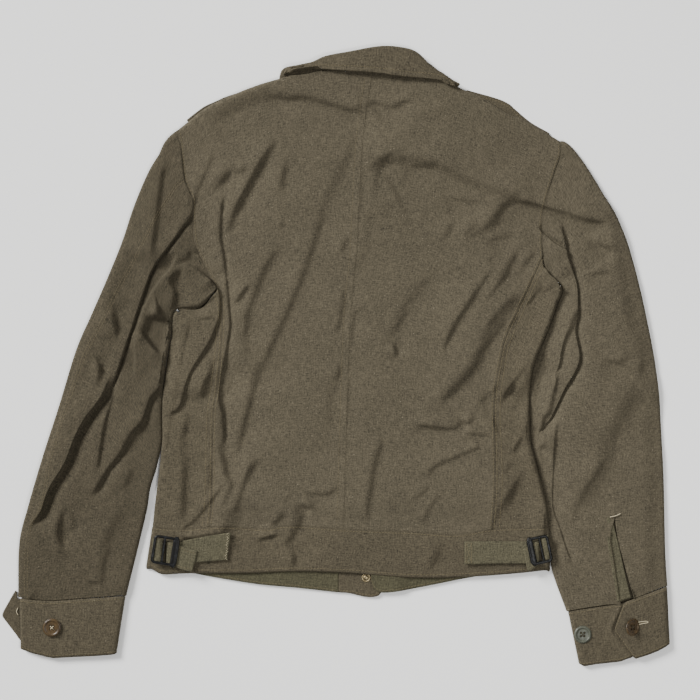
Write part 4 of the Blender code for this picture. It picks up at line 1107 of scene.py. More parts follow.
# Smaller creases of the back, the left sleeve and the right sleeve
CREASES = creases("""
1.3 6.4: -13 162 -26 120 -46 68 -81 -8 -98 -60 -113 -118
1.9 4.3 0.8: 177 91 171 91 166 86 132 34 121 8 123 0
3.5 6.4: 32 274 21 273 -35 288 -54 287 -78 293
3.2 6.4: -65 243 -87 211 -111 165 -122 134
1.3 7.4: 238 161 217 171 200 171 188 166 173 149 161 142
1.1 4.3: 49 -85 49 -101 43 -121 35 -171 36 -190
2.4 4.3: -125 -141 -130 -149 -158 -183 -170 -192 -172 -200
1.6 4.3: 204 125 204 119 193 102 189 90 164 58
1.6 7.4: -58 126 -73 109 -80 96 -100 45 -100 34 -105 19 -103 14
1.6 6.4: 192 44 187 35 161 4 155 -10 135 -34 122 -45 119 -52 119 -59
2.2 4.3: 146 -92 156 -97 158 -100 157 -103 114 -121 105 -130 101 -138
2 5.3: -85 -116 -91 -120 -98 -130 -116 -181
3.5 4.3: 139 -80 122 -81 86 -76
2.4 6.4: -132 -98 -131 -104 -126 -114 -122 -134 -117 -144 -126 -167 -122 -174
3.2 6.4: 93 282 77 284 66 278 59 278 41 283 37 280 36 274
3.5 7.4: -138 2 -140 -17 -148 -36 -149 -53
1.3 6.4: 203 26 190 9 180 -32 160 -51 150 -52
1.6 8: 213 -122 182 -174 171 -200
2.8 4.3: 5 -146 -12 -154 -33 -153 -39 -157
3.5 4.3: -91 81 -100 76 -116 54
1.9 8: -172 -119 -169 -128 -171 -187
1.9 6.4: -115 209 -134 188 -137 177
2 6.4: -141 -109 -143 -113 -141 -133 -143 -150 -142 -156
1.4 4.3: 32 58 20 44 17 10
2.3 7.4: 6 80 8 69 7 54 2 31 -3 21
1.5 5.3: 69 227 64 229 50 214 41 177
1.4 6.4: 203 71 171 37 170 28
1.5 5.3: 121 -147 106 -167 94 -192
0.43 4.3: 225 103 205 56
2.2 8: -36 -172 -44 -193 -61 -216
1.8 6.4: -159 -60 -166 -68 -171 -96
1.8 4.3: 178 -90 147 -86 140 -82
1.4 4.3: 176 -60 176 -75 181 -86 185 -87 198 -82
2.2 7.4: -49 215 -55 211 -60 198 -59 177
2.6 7.4: 203 138 165 127
2.7 8: 122 199 114 211 109 213 85 211 73 213
2.3 5.3: 222 124 220 115 208 99 206 88
1.1 6.4: 109 -212 112 -223 100 -245
4.4 4.3: -24 -173 -45 -163
1.9 4.3: 161 151 146 138 140 128
3.2 5.3: 209 -86 195 -112
3.9 4.3: -58 -198 -86 -205 -92 -209
2.2 5.3: 5 -5 2 -22 -1 -30
0.26 5.3: -116 -194 -120 -224
3.9 4.3: 63 17 69 -3
2.3 4.3: 17 135 8 121 7 109
2 4.3: 134 153 117 127
2.2 4.3: 226 73 210 53
1.6 4.3: 109 -140 96 -153 82 -161 79 -159
1.5 6.4: 83 56 62 21
3.4 7.4: -55 -171 -67 -185 -78 -192
1.4 6.4: 207 53 194 32 194 29
3.4 7.4: -52 -211 -47 -226 -49 -240
5.3 4.3: 150 -78 137 -70
1.1 4.3: 195 -116 188 -136
1.1 3.2: -50 -152 -60 -166
1.5 5.3: -56 150 -66 141
1.3 5.3: 176 112 169 101
4.4 7.4: -100 212 -105 207 -112 208
1 4.3: 70 165 58 166 53 164
1.3 5.3: 210 -56 191 -59
0.42 4.3: 18 5 16 2 12 -75
0.72 4.3: 30 215 27 159
3.4 7.4: -185 214 -192 208 -195 195 -206 104
7.6 6.4 1.4: -218 34 -217 29 -200 7 -189 2
3.1 4.3: -304 -166 -310 -199 -301 -221
0.18 4.3: -175 239 -171 202 -187 182
3.1 4.3: -272 2 -265 -10 -264 -22 -271 -35
5.9 7.4: -253 56 -248 46 -242 17
13 8: -191 46 -198 42 -212 46
2.4 4.3: -298 -169 -294 -185 -294 -194 -297 -200
2.7 7.4: -227 -121 -231 -136 -241 -154
7.3 7.4: -354 -281 -345 -289 -341 -298
4 4.3: -164 119 -165 114 -163 107
1.5 3.2: -167 193 -162 177
0.89 7.4: -164 39 -167 15
1.6 7.4: 303 -114 285 -138 270 -166 263 -187 264 -191
5.2 6.4: 316 116 295 124 281 134
2.8 7.4: 330 -1 315 -6 294 -3
0.11 3.2: 271 144 281 122
3.5 8: 237 -100 224 -103
1.8 6.4: 343 -3 337 -23
0.19 8: 254 160 242 164
""")
# Seams as creases: the cloth is drawn in along them, and stands up beside them
SEAMS = tuple(Crease(rail.at(np.linspace(0, 1, count)), height, width, fade=0.0)
              for rail, count, height, width in (
                  (CENTRE_SEAM, 14, 0.4, 2.6), (SIDE_BACK_LEFT, 12, 0.6, 2.4),
                  (SIDE_BACK_RIGHT, 14, 0.6, 2.4), (ARMHOLE_LEFT, 12, 0.6, 3.0),
                  (ARMHOLE_RIGHT, 12, 0.7, 3.2)))
SEAMS += (Crease(WAIST_SEAM.at(np.linspace(1, 0, 16)), 0.3, 2.8, fade=0.0),)
SEAMS += creases("0.8 2.2: -162 48 -167 26 -174 -9 -182 -51 -190 -110")
RELIEF = Relief(FOLDS + SOFT_FOLDS + CREASES + SEAMS)
SOFT_RELIEF = Relief(SOFT_FOLDS)


def hidden_rise(plan: Array, margin: float, run: float) -> Array:
    """Folds of the side that lies on the surface, which only lift off it.

    Args:
        plan: grid of points in plan.
        margin: width of the rim that stays down.
        run: distance over which the folds grow inside the rim.

    Returns:
        Height of each point over the surface.
    """
    down = np.cumsum(np.linalg.norm(np.diff(plan, axis=0, prepend=plan[:1]), axis=-1), axis=0)
    across = np.cumsum(np.linalg.norm(np.diff(plan, axis=1, prepend=plan[:, :1]), axis=-1), axis=1)
    room = np.minimum(np.minimum(down, down[-1:] - down), np.minimum(across, across[:, -1:] - across))
    fold = SOFT_RELIEF.shape(plan)[1] * 0.5 + swell(plan, 31) * 0.5
    return np.clip(fold, 0.0, 1.4) * ease((room - margin) / run)


# ======== Pieces of the jacket ========


@dataclass(frozen=True)
class Cut:
    """How a cloth piece was cut, and what it lies on.

    Attributes:
        finish: key of its material.
        width, length: size of the flat cut, in millimetres; not used.
        rests_on: pieces that it lies on; not used.
        fill: share of that rectangle which it covers, where it isn't one; not used.
        held: how it is held; not used.
        slot: material slot; not used.
    """

    finish: str
    width: float
    length: float
    rests_on: tuple[str, ...] = ()
    fill: float | None = None
    held: Held = Held.LAID
    slot: Slot = Slot.SERGE


CUTS = {
    "back_left": Cut("serge", 200, 540, ("front_left", "front_right"), 0.82),
    "back_right": Cut("serge", 200, 540, ("front_left", "front_right"), 0.82),
    # The side panels take the darker copy of the serge as painted shade
    "side_left": Cut("serge_worn_painted_shade", 95, 300, ("front_left",), 0.66),
    "side_right": Cut("serge_worn_painted_shade", 95, 300, ("front_right",), 0.66),
    "front_left": Cut("serge", 290, 560, ("waistband_front_left",), 0.72),
    "front_right": Cut("serge", 290, 560, ("front_left",), 0.72),
    # Both left sleeve pieces take the darker copy of the serge, a painted shade
    "sleeve_upper_left": Cut("serge_dark", 150, 570, (), 0.78),
    "sleeve_upper_right": Cut("serge", 190, 560, (), 0.78),
    "sleeve_under_left": Cut("serge_dark", 150, 500, (), 0.78),
    "sleeve_under_right": Cut("serge", 115, 510, (), 0.78),
    "sleeve_placket_right": Cut("reverse", 20, 92, ("sleeve_upper_right",), 0.73),
    "collar": Cut("serge_worn_painted_shade", 205, 45, ("back_left", "back_right"), None, Held.FOLDED),
    "shoulder_strap_left": Cut("serge_worn_painted_shade", STRAP_LEFT.length + 4, 27),
    "shoulder_strap_right": Cut("serge_worn_painted_shade", STRAP_RIGHT.length + 4, 27),
    "waistband_back": Cut("serge_worn_painted_shade", 480, 52, ("waistband_front_left", "waistband_front_right")),
    # Both front waistband pieces take the darker inner serge, partly painted shade
    "waistband_front_left": Cut("inner_band_painted_shade", 205, 62, ("front_left",), slot=Slot.REVERSE),
    "waistband_tab_left": Cut("serge_worn_painted_shade", 50, 62, ("front_left",)),
    "waistband_front_right": Cut("inner_band_painted_shade", 190, 62, ("front_left",), slot=Slot.REVERSE),
    "cuff_left": Cut("serge_worn_painted_shade", 290, 66, ("sleeve_upper_left",), None, Held.FOLDED),
    "cuff_right": Cut("serge_worn_painted_shade", 290, 66, ("sleeve_upper_right",), None, Held.FOLDED),
    "waist_strap_left": Cut("reverse", 112, 27, ("waistband_back",), None, Held.FOLDED, Slot.REVERSE),
    "waist_strap_right": Cut("reverse", 105, 26, ("waistband_back",), None, Held.FOLDED, Slot.REVERSE),
    "buckle_loop_left": Cut("reverse", 14, 27, ("waistband_back",), None, Held.FOLDED),
    "buckle_loop_right": Cut("reverse", 13, 27, ("waistband_back",), None, Held.FOLDED),
}


def cloth_piece(name: str, outer: Array, wall: float = WALL, mirrored: bool = False,
                inner: Array | None = None) -> None:
    """Makes a cloth piece with the material of its cut and its body, and hides its CAD node.

    Args:
        name: name of the piece.
        outer, wall, mirrored, inner: its shape, as in cloth.
    """
    cut = CUTS[name]
    item = cloth(name, outer, wall, mirrored, inner)
    dress(item, cut.finish, (name,))


@dataclass
class Body:
    """Backs, side panels and fronts.

    Attributes:
        sewing: gathers the stitches.
        spacing: distance between columns and rows away from the seams.
        loft_left, loft_right, loft_run: the back swells between these lines, over this run.
        flat_top, flat_bottom, calm: and lies flat beyond these, over that run.
        still: share of the cloth's unevenness that is left where the back lies flat.
        least: height that the back doesn't sink below.
        turn_in: the folded shoulder edge takes its direction from its ends over this length.
        side_bend: share of the side lines over which they bend out to that edge.
        fold_bend: share of the top line over which the fold runs out.
        side_roll: plan radius of the sides.
        front_rim: rim of the fronts that lies on the surface.
        front_rise: run over which their folds rise inside it.
    """

    sewing: Sewing
    spacing: float = 2.0
    loft_left: float = -134.0
    loft_right: float = 212.0
    loft_run: float = 50.0
    flat_top: float = 292.0
    flat_bottom: float = -188.0
    calm: float = 26.0
    still: float = 0.3
    least: float = LAYER_TWO + 0.6 * WALL
    turn_in: float = 14.0
    side_bend: float = 0.08
    fold_bend: float = 0.02
    side_roll: float = ROLL - 0.4
    front_rim: float = 28.0
    front_rise: float = 30.0

    def surface(self, plan: Array) -> tuple[Array, Array]:
        """Plan and height of the back's face at points in plan."""
        x = plan[..., 0]
        y = plan[..., 1]
        moved, lift = RELIEF.shape(plan)
        loft = (BODY_LOFT * ease((x - self.loft_left) / self.loft_run)
                * ease((self.loft_right - x) / self.loft_run))
        calm = ease((y - self.flat_bottom) / self.calm) * ease((self.flat_top - y) / self.calm)
        uneven = swell(plan, 4) * (self.still + (1 - self.still) * calm)
        return moved, np.maximum(LAID_HEIGHT + loft * calm + lift + uneven, self.least)

    def back(self, name: str, top: Rail, rolled: tuple[float, float], bottom: Rail, left: Rail,
             right: Rail, tip: int, tip_out: Array) -> None:
        """Builds one half of the back, folded down over the shoulder edge.

        Args:
            name: name of the piece.
            top: shoulder and neck line, from left to right.
            rolled: shares of it between which it turns down.
            bottom: line of the waist seam.
            left, right: its side lines.
            tip: 0 if the sleeve's tip is at the start of the top line, else -1.
            tip_out: direction of the armhole at that tip.
        """
        u = steps_between(bottom.length, self.spacing)
        v = steps_between(left.length, self.spacing)
        line = top.at(u)
        out = side_normals(line, BODY_MIDDLE)
        for end, direction in ((tip, tip_out), (-1 - tip, np.array([0.0, 1.0]))):
            away = ease(np.linalg.norm(line - line[end], axis=1) / self.turn_in)[:, None]
            out = unit(direction + (out - direction) * away)
        line = line - out * ROLL
        left_line = left.at(v)
        right_line = right.at(v)
        drop = ease(1 - v / self.side_bend)[:, None]
        left_line += (line[0] - left_line[0]) * drop
        right_line += (line[-1] - right_line[0]) * drop
        plan = patch(line, bottom.at(u), left_line, right_line, u, v)
        plan = pull_in(plan, ("left", "right", "bottom"))
        moved, height = self.surface(plan)
        moved[0] = plan[0]
        bend = self.fold_bend
        share = ease((u - rolled[0]) / bend + 0.5) * ease((rolled[1] - u) / bend + 0.5)
        over = roll_over(moved[0], out, height[0], share, LAYER_TWO)
        face = lift_to(moved, height)
        cloth_piece(name, np.concatenate([over[::-1], face]))
        self.sewing.run("thread", inset(face, "left" if tip == 0 else "right", 2.0))
        if tip == 0:
            self.sewing.run("thread", inset(face, "right", 7.6)[4:], radius=0.2, rise=0.02)

    def side(self, name: str, side_back: Rail, lip: Array, edge: Array, waist: Rail) -> Array:
        """Builds a side panel, from the side-back seam out to the body's edge and under it.

        Args:
            name: name of the piece.
            side_back: seam with the back.
            lip: plan points under the arm, from the seam's top outwards.
            edge: plan points of the body's edge, downwards.
            waist: line of the waist seam, outwards.

        Returns:
            Line that the front panel reaches to underneath.
        """
        left = "left" in name
        v = steps_between(side_back.length, self.spacing, near=False)
        side = Rail(edge, curved=False).at(v)
        out = side_normals(side, side_back.at(0.5))
        side_in = side - out * self.side_roll
        u = steps_between(60.0, 1.6)
        top = Rail(lip, curved=False).at(u)
        top += (side_in[0] - top[-1]) * ease(u)[:, None]
        bottom = waist.at(u)
        bottom += (side_in[-1] - bottom[-1]) * u[:, None]
        plan = patch(top, bottom, side_back.at(v), side_in, u, v)
        plan = pull_in(plan, ("left", "top", "bottom"))
        moved, height = self.surface(plan)
        fold = plan[:, -1]
        moved[:, -1] = fold
        face = lift_to(moved, height)
        under = tucked(fold, out, height[:, -1], self.side_roll)
        cloth_piece(name, np.concatenate([face, under], axis=1), mirrored=left)
        for distance in (2.2, 8.0):
            self.sewing.run("thread", inset(face, "left", distance))
        return fold - out * (RETURN + LAYER_GAP)

    def fronts(self, left_side: Array, right_side: Array) -> None:
        """Builds both fronts on the floor under the back, the right one lapped over the left.

        Args:
            left_side, right_side: plan lines of their outer sides, downwards.
        """
        u = np.linspace(0.0, 1.0, 70)
        v = np.linspace(0.0, 1.0, 130)
        rail = Rail(left_side, curved=False).at(v)
        edge = FRONT_EDGE_LEFT.at(v)
        plan = patch(FRONT_TOP_LEFT.at(u), straight(rail[-1], edge[-1], u), rail, edge, u, v)
        self.front("front_left", pull_in(plan, ("left", "bottom"), 0.6), 0.0)
        rail = Rail(right_side, curved=False).at(v)
        edge = FRONT_EDGE_RIGHT.at(v)
        plan = patch(FRONT_TOP_RIGHT.at(u), straight(edge[-1], rail[-1], u), edge, rail, u, v)
        plan = pull_in(plan, ("right", "bottom"), 0.6)
        self.front("front_right", plan, lapped(plan, FRONT_STEP))

    def front(self, name: str, plan: Array, base: Array | float) -> None:
        """Builds one front, its outer face down on the floor."""
        bottom = lift_to(plan, base + hidden_rise(plan, self.front_rim, self.front_rise))
        cloth_piece(name, bottom, mirrored=True, inner=bottom + np.array([0.0, 0.0, WALL]))
        edge = "right" if name == "front_left" else "left"
        self.sewing.run("thread", inset(bottom, edge, 6.0), rise=-0.1)


def lapped(plan: Array, step: tuple[float, float]) -> Array:
    """Height of a piece that climbs over the layer under it to the left of a step."""
    start, end = step
    return LAYER_TWO * (1 - ease((plan[..., 0] - start) / (end - start)))


@dataclass
class Sleeve:
    """One sleeve: upper and under sleeve, each folded round one edge.

    Attributes:
        name: left or right.
        armhole: seam with the body, downwards.
        sections: cross sections from the armhole to the cuff.
        keys: columns, as shares from the outer edge to the inner one, of the outer edge, the
            elbow seam, the deep fold and the inner edge.
        arm_keys: shares of the armhole where those columns start.
        crown: the outer edge passes here on its way from the armhole.
        sewing: gathers the stitches.
        slit: whether the seam is open above the cuff.
        swell_scale: how much more than its section's loft it swells.
        lowest: height that its face doesn't sink below.
        floor_share: share of the width that the upper sleeve covers underneath.
        row_spacing: distance between rows away from the ends.
        tip_turn: run over which the outer edge leaves the armhole's direction.
        sharp, sharp_run: the inner edge starts under the arm with this share of its radius, and
            rounds out over this run.
        end_calm: length beside the cuff that lies calmer.
        slit_start: share of the length at which the slit starts.
        slit_under, slit_upper: how far its two sides are drawn back at the cuff.
        under_rim, under_rise: rim of the underside that lies on the surface, and the run over
            which its folds rise inside it.
    """

    name: str
    armhole: Rail
    sections: Array
    keys: tuple[float, ...]
    arm_keys: tuple[float, ...]
    crown: Point
    sewing: Sewing
    slit: bool = False
    swell_scale: float = 1.8
    lowest: float = 3.4
    floor_share: float = 0.9
    row_spacing: float = 2.3
    tip_turn: float = 16.0
    sharp: float = 0.12
    sharp_run: float = 22.0
    end_calm: float = 12.0
    slit_start: float = 0.815
    slit_under: float = 8.5
    slit_upper: float = 9.2
    under_rim: float = 12.0
    under_rise: float = 24.0

    def frame_points(self, t: Array, q: Array) -> Array:
        """Plan points at rows t, counted in sections, and columns q, shares of the width."""
        share = np.interp(q, self.keys, self.arm_keys)
        points = self.sections[:, :-1].reshape(len(self.sections), -1, 2)
        rows = np.stack([self.armhole.at(share)] + [resample(row, self.keys, q) for row in points])
        ends = np.concatenate([[2 * rows[0] - rows[1]], rows, [2 * rows[-1] - rows[-2]]])
        index = np.minimum(t.astype(int), len(rows) - 2)
        grid = spline(*(ends[index + k] for k in range(4)), (t - index)[:, None, None])
        early = t < 1.0
        middle = spline(*ends[:4], 0.5)[0]
        push = (np.array(self.crown) - middle)[None, None] * ((1 - share) ** 2)[None, :, None]
        grid[early] += push * np.sin(math.pi * t[early])[:, None, None]
        return grid

    def row_steps(self) -> Array:
        """Rows at even distances along the middle of the sleeve, closer beside its ends."""
        t = np.linspace(0.0, len(self.sections), 20 * len(self.sections) + 1)
        run = run_of(self.frame_points(t, np.array(self.keys))[:, 2])
        return np.interp(steps_between(run[-1], self.row_spacing) * run[-1], run, t)

    def inner_edge(self, t: Array) -> Array:
        """Plan points of the inner edge, which the body's edge runs along."""
        return self.frame_points(t, np.array([1.0]))[:, 0]

    def build(self) -> None:
        """Builds both pieces."""
        t = self.row_steps()
        q = np.concatenate([
            self.keys[1] * steps_between(40.0, 1.7, near=False),
            (self.keys[1] + (1 - self.keys[1]) * steps_between(118.0, 1.5, far=False))[1:],
        ])
        elbow = int(np.argmin(np.abs(q - self.keys[1])))
        deep = int(np.argmin(np.abs(q - self.keys[2])))
        grid = self.frame_points(t, q)
        outer_line = grid[:, 0]
        inner_line = grid[:, -1]
        inside = grid[len(t) // 2, deep]
        tip = unit(self.armhole.points[0] - self.armhole.points[4])
        out_outer = side_normals(outer_line, inside)
        turn = ease(np.linalg.norm(outer_line - outer_line[0], axis=1) / self.tip_turn)[:, None]
        out_outer = unit(tip + (out_outer - tip) * turn)
        out_inner = side_normals(inner_line, inside)
        near_outer = np.clip(1 - q / self.keys[1], 0.0, 1.0)[None, :, None]
        near_inner = np.clip((q - self.keys[2]) / (1 - self.keys[2]), 0.0, 1.0)[None, :, None]
        away = ease(np.linalg.norm(inner_line - inner_line[0], axis=1) / self.sharp_run)
        inner_roll = ROLL * (self.sharp + (1 - self.sharp) * away)
        plan = grid - out_outer[:, None] * ROLL * near_outer
        plan = plan - out_inner[:, None] * (inner_roll[:, None, None] + 0.1) * near_inner
        plan = pull_in(plan, ("top", "bottom"))
        upper = plan[:, elbow::-1].copy()
        under = plan[:, elbow:].copy()
        if self.slit:
            self.open_slit(upper, under, unit(plan[:, 0] - plan[:, elbow])[:, None], t / t[-1])
        upper = pull_in(upper, ("left",))
        under = pull_in(under, ("left",))
        lofts = np.interp(t, np.arange(len(self.sections) + 1), [0.0, *self.sections[:, -1]])
        u = np.interp(q, self.keys, self.arm_keys)
        loft = lofts[:, None] * np.sin(math.pi * np.clip(u, 0.0, 1.0)) ** 0.7 * self.swell_scale
        right = self.name == "right"
        self.piece("sleeve_upper_", upper, loft[:, elbow::-1], out_outer, not right,
                   plan[:, :int(len(q) * self.floor_share)][:, ::4], ROLL)
        self.piece("sleeve_under_", under, loft[:, elbow:], out_inner, right,
                   plan[:, :int(len(q) * (self.floor_share + 0.02)):-1][:, ::3], inner_roll)

    def open_slit(self, upper: Array, under: Array, away: Array, rows: Array) -> None:
        """Draws both sides of the elbow seam back from each other above the cuff.

        Args:
            upper, under: plan grids, whose first columns lie on the seam.
            away: unit vectors from the seam to the outer edge.
            rows: share of the length at each row.
        """
        open_up = np.clip((rows - self.slit_start) / (1 - self.slit_start), 0.0, 1.0)
        gape = (open_up ** 1.7)[:, None, None]
        back_off = ease(open_up / 0.3)[:, None, None]
        fade_up = (1 - np.arange(upper.shape[1]) / (upper.shape[1] - 1))[None, :, None]
        fade_low = np.clip(1 - np.arange(under.shape[1]) / 24, 0.0, 1.0)[None, :, None]
        upper += away * gape * self.slit_upper * fade_up
        under -= away * back_off * self.slit_under * fade_low

    def piece(self, prefix: str, plan: Array, loft: Array, out: Array, mirrored: bool,
              beneath: Array, roll: Array | float) -> None:
        """Builds one piece: its face, its folded edge and what lies under it.

        Args:
            prefix: start of the piece's name.
            plan: plan grid of the face, from the elbow seam to the folded edge.
            loft: swell of each point.
            out: unit vectors out of the folded edge.
            mirrored: True where the columns run to -X.
            beneath: plan grid of the underside, from the folded edge inwards.
            roll: how far the folded edge reaches out, row by row.
        """
        moved, lift = RELIEF.shape(plan)
        moved[:, -1] = plan[:, -1]
        end = ease(1 - np.linalg.norm(plan - plan[-1:], axis=-1) / self.end_calm)
        height = LAID_HEIGHT + loft + lift + swell(plan, 9) * (1 - 0.7 * end)
        height = np.maximum(height, self.lowest) - 0.4 * end
        face = lift_to(moved, height)
        under = roll_under(moved[:, -1], out, height[:, -1], roll)
        rise = hidden_rise(beneath, self.under_rim, self.under_rise)
        low = lift_to(beneath[:, 1:], rise[:, 1:])
        cloth_piece(prefix + self.name, np.concatenate([face, under, low], axis=1), mirrored=mirrored)
        if not self.slit:
            self.sewing.run("thread", inset(face, "left", 1.6), radius=0.2, rise=0.02)


@dataclass
class Collar:
    """Collar: the stand rises from the neck line, rolls over and falls on the back.

    Attributes:
        sewing: gathers the stitches.
        wall: thickness.
        fall_lift: air between the back and the fall.
        fall_min, stand_min: least widths of the fall and the stand.
        edge_lift: how far the free edge stands up.
        waves: height of the long and of the short waves of that edge.
        puff, lip: how far the fall swells over its middle, and how much its edge is raised.
        columns: number of columns.
    """

    sewing: Sewing
    wall: float = 2.2
    fall_lift: float = 1.3
    fall_min: float = 5.0
    stand_min: float = 1.0
    edge_lift: float = 3.2
    waves: tuple[float, float] = (0.35, 0.25)
    puff: float = 0.7
    lip: float = 0.5
    columns: int = 130

    def build(self) -> None:
        """Builds the collar as one band from the seam over its roll to its free edge."""
        u = np.linspace(0.0, 1.0, self.columns)
        neck = (NECK_LEFT + NECK_RIGHT).at(u)
        roll = COLLAR_ROLL.at(u)
        fall = COLLAR_FALL.at(u)
        out = side_normals(neck, BODY_MIDDLE)
        start = neck + out * 0.2
        stand = LAID_HEIGHT - self.wall / 2 - 0.2
        leaf = LAID_HEIGHT + self.fall_lift + self.wall / 2
        bend = (leaf - stand) / 2
        reach = np.linalg.norm(roll - start, axis=1)
        up = unit(roll - start)
        far = start + up * np.maximum(reach - self.wall / 2 - bend, self.stand_min)[:, None]
        width = np.maximum(np.linalg.norm(fall - far, axis=1), self.fall_min)
        fall = far + unit(fall - far) * width[:, None]
        rows = [lift_to(start + (far - start) * s, stand) for s in np.linspace(0.0, 1.0, 6)]
        for turn in np.linspace(0.0, 1.0, 11)[1:-1]:
            angle = math.pi * turn
            point = far + up * bend * math.sin(angle)
            rows.append(lift_to(point, stand + bend * (1 - math.cos(angle))))
        wave = self.waves[0] * np.sin(u * 23.0) + self.waves[1] * np.sin(u * 41.0 + 1.0)
        stand_off = self.edge_lift * np.sin(math.pi * np.clip((u - 0.06) / 0.9, 0.0, 1.0)) ** 0.8
        for s in np.linspace(0.0, 1.0, 26):
            rise = (wave * s + self.puff * math.sin(math.pi * s) + stand_off * s ** 1.5
                    + self.lip * ease(np.array((s - 0.8) / 0.2)))
            rows.append(lift_to(far + (fall - far) * s, leaf + rise))
        middle = np.array(rows)
        outer = middle + normals_of(middle) * self.wall / 2
        cloth_piece("collar", outer, self.wall)
        self.sewing.run("thread", inset(outer, "bottom", 5.5))


@dataclass
class Band:
    """Band of cloth that runs along stations and may be folded over itself.

    Attributes:
        name: name of the piece.
        stations: cross lines of the band, along it, one a row.
        mirrored: True where its outer face is on the other side.
        sewing: gathers the stitches.
        wall: thickness.
        step: distance between cross lines.
        columns: number of columns.
        edges: sides that are topstitched.
        puff: how far its middle swells.
        relief: creases of the band.
        relief_at: height of the layer that they shape.
        layer_reach: points closer to that height belong to the layer.
        flatness: the band lies flat where its normal's rise is more than this.
    """

    name: str
    stations: Array
    mirrored: bool
    sewing: Sewing
    wall: float = CUFF_WALL
    step: float = 1.6
    columns: int = 20
    edges: tuple[str, ...] = ("left", "right")
    puff: float = 0.3
    relief: Relief | None = None
    relief_at: float = 0.0
    layer_reach: float = 0.9
    flatness: float = 0.9

    def middle(self) -> Array:
        """Middle surface of the band, evenly resampled and slightly smoothed."""
        ends = (self.stations[:, [0, 1, 4]], self.stations[:, 2:])
        run = run_of((ends[0] + ends[1]) / 2)
        at = np.linspace(0.0, run[-1], max(int(run[-1] / self.step), 8) + 1)
        lines = [resample(points, run, at) for points in ends]
        for line in lines:
            for _ in range(2):
                line[1:-1] = line[1:-1] * 0.5 + (line[:-2] + line[2:]) * 0.25
        s = np.linspace(0.0, 1.0, self.columns + 1)[None, :, None]
        return lines[0][:, None] * (1 - s) + lines[1][:, None] * s

    def build(self) -> None:
        """Builds the band."""
        middle = self.middle()
        normal = normals_of(middle) * (-1.0 if self.mirrored else 1.0)
        s = np.linspace(0.0, 1.0, middle.shape[1])[None]
        bow = np.sin(math.pi * s) * self.puff + 0.5 * swell(middle[..., :2], 21)
        if self.relief:
            on_layer = np.abs(middle[..., 2] - self.relief_at) < self.layer_reach
            bow = bow + self.relief.shape(middle[..., :2])[1] * on_layer
        lies_flat = np.abs(normal[..., 2:]) > self.flatness
        outer = middle + normal * (self.wall / 2 + bow[..., None] * lies_flat)
        outer[..., 2] = np.maximum(outer[..., 2], 0.0)
        cloth_piece(self.name, outer, self.wall, self.mirrored)
        for edge in self.edges:
            self.sewing.run("thread", inset(outer, edge, 2.4))


@dataclass
class Waistband:
    """Back waistband, folded round both sides, and the front one that shows below it.

    Attributes:
        sewing: gathers the stitches.
        depth: its depth, for the spacing of the columns.
        edge_roll, edge_floor: plan radius of its lower edge, and where that ends.
        side_from, side_run: its sides draw in from this share of the width, over this run.
        puff: how far its middle swells.
    """

    sewing: Sewing
    depth: float = 51.0
    edge_roll: float = 2.6
    edge_floor: float = 3.6
    side_from: float = 0.42
    side_run: float = 0.08
    puff: float = 0.7

    def build(self) -> None:
        """Builds the four pieces."""
        u = steps_between(WAIST_SEAM.length, 2.0, near=False, far=False)
        v = steps_between(self.depth, 1.5)
        seam = WAIST_SEAM.at(u)
        edge = WAIST_EDGE.at(u)
        left = straight(seam[0], edge[0], v)
        right = straight(seam[-1], edge[-1], v)
        out_left = side_normals(left, WAIST_MIDDLE)
        out_right = side_normals(right, WAIST_MIDDLE)
        left_in = left - out_left * ROLL
        right_in = right - out_right * ROLL
        drawn = ease((np.abs(u - 0.5) - self.side_from) / self.side_run)
        inward = np.where(u < 0.5, ROLL, -ROLL) * drawn
        seam[:, 0] += inward
        edge[:, 0] += inward
        seam[0], seam[-1] = left_in[0], right_in[0]
        edge[0], edge[-1] = left_in[-1], right_in[-1]
        down = side_normals(edge, np.array([0.0, 0.0]))
        edge_in = edge - down * self.edge_roll
        left_in = left_in + (edge_in[0] - edge[0]) * v[:, None]
        right_in = right_in + (edge_in[-1] - edge[-1]) * v[:, None]
        plan = pull_in(patch(seam, edge_in, left_in, right_in, u, v), ("top",))
        moved, lift = RELIEF.shape(plan)
        puff = np.sin(math.pi * v)[:, None] * self.puff
        height = LAID_HEIGHT + lift + puff + swell(plan, 4) * 0.6
        moved[:, [0, -1]] = plan[:, [0, -1]]
        face = lift_to(moved, height)
        over = roll_over(moved[-1], down, height[-1], np.ones(len(u)), self.edge_floor, self.edge_roll)
        body = np.concatenate([face, over])
        sides = []
        for column, out in ((0, out_left), (-1, out_right)):
            out = np.concatenate([out, np.repeat(out[-1:], len(over), axis=0)])
            sides.append(tucked(body[:, column, :2], out, body[:, column, 2]))
        cloth_piece("waistband_back", np.concatenate([sides[0][:, ::-1], body, sides[1]], axis=1))
        self.sewing.run("thread", inset(face, "top", 2.2))
        self.sewing.run("thread", inset(face, "bottom", 1.5))
        self.front("waistband_front_left", FRONT_BAND_LEFT, FRONT_BAND_START, 200)
        self.front("waistband_tab_left", FRONT_BAND_TAB, 2.6, 60)
        self.front("waistband_front_right", FRONT_BAND_RIGHT, 39.0, 200)

    def front(self, name: str, edge: Rail, start: float, columns: int) -> None:
        """Builds a stretch of the front waistband; the right one climbs over the left.

        Args:
            name: name of the piece.
            edge: its lower edge.
            start: where its top starts, across the plan.
            columns: number of columns.
        """
        u = np.linspace(0.0, 1.0, columns)
        v = steps_between(50.0, 2.2)
        low = edge.at(u)
        top = straight((start, FRONT_BAND_TOP), (low[-1, 0], FRONT_BAND_TOP), u)
        plan = patch(top, low, straight(top[0], low[0], v), straight(top[-1], low[-1], v), u, v)
        base = lapped(plan, BAND_STEP) if name == "waistband_front_right" else 0.0
        near = np.linalg.norm(plan - plan[-1], axis=-1)
        height = base + WALL + 1.1 + 0.25 * np.exp(-((near - 4.0) / 3.0) ** 2) + 0.25 * swell(plan, 5)
        outer = lift_to(plan, height)
        cloth_piece(name, outer, inner=lift_to(plan, base))
        self.sewing.run("thread", inset(outer, "bottom", 2.2))


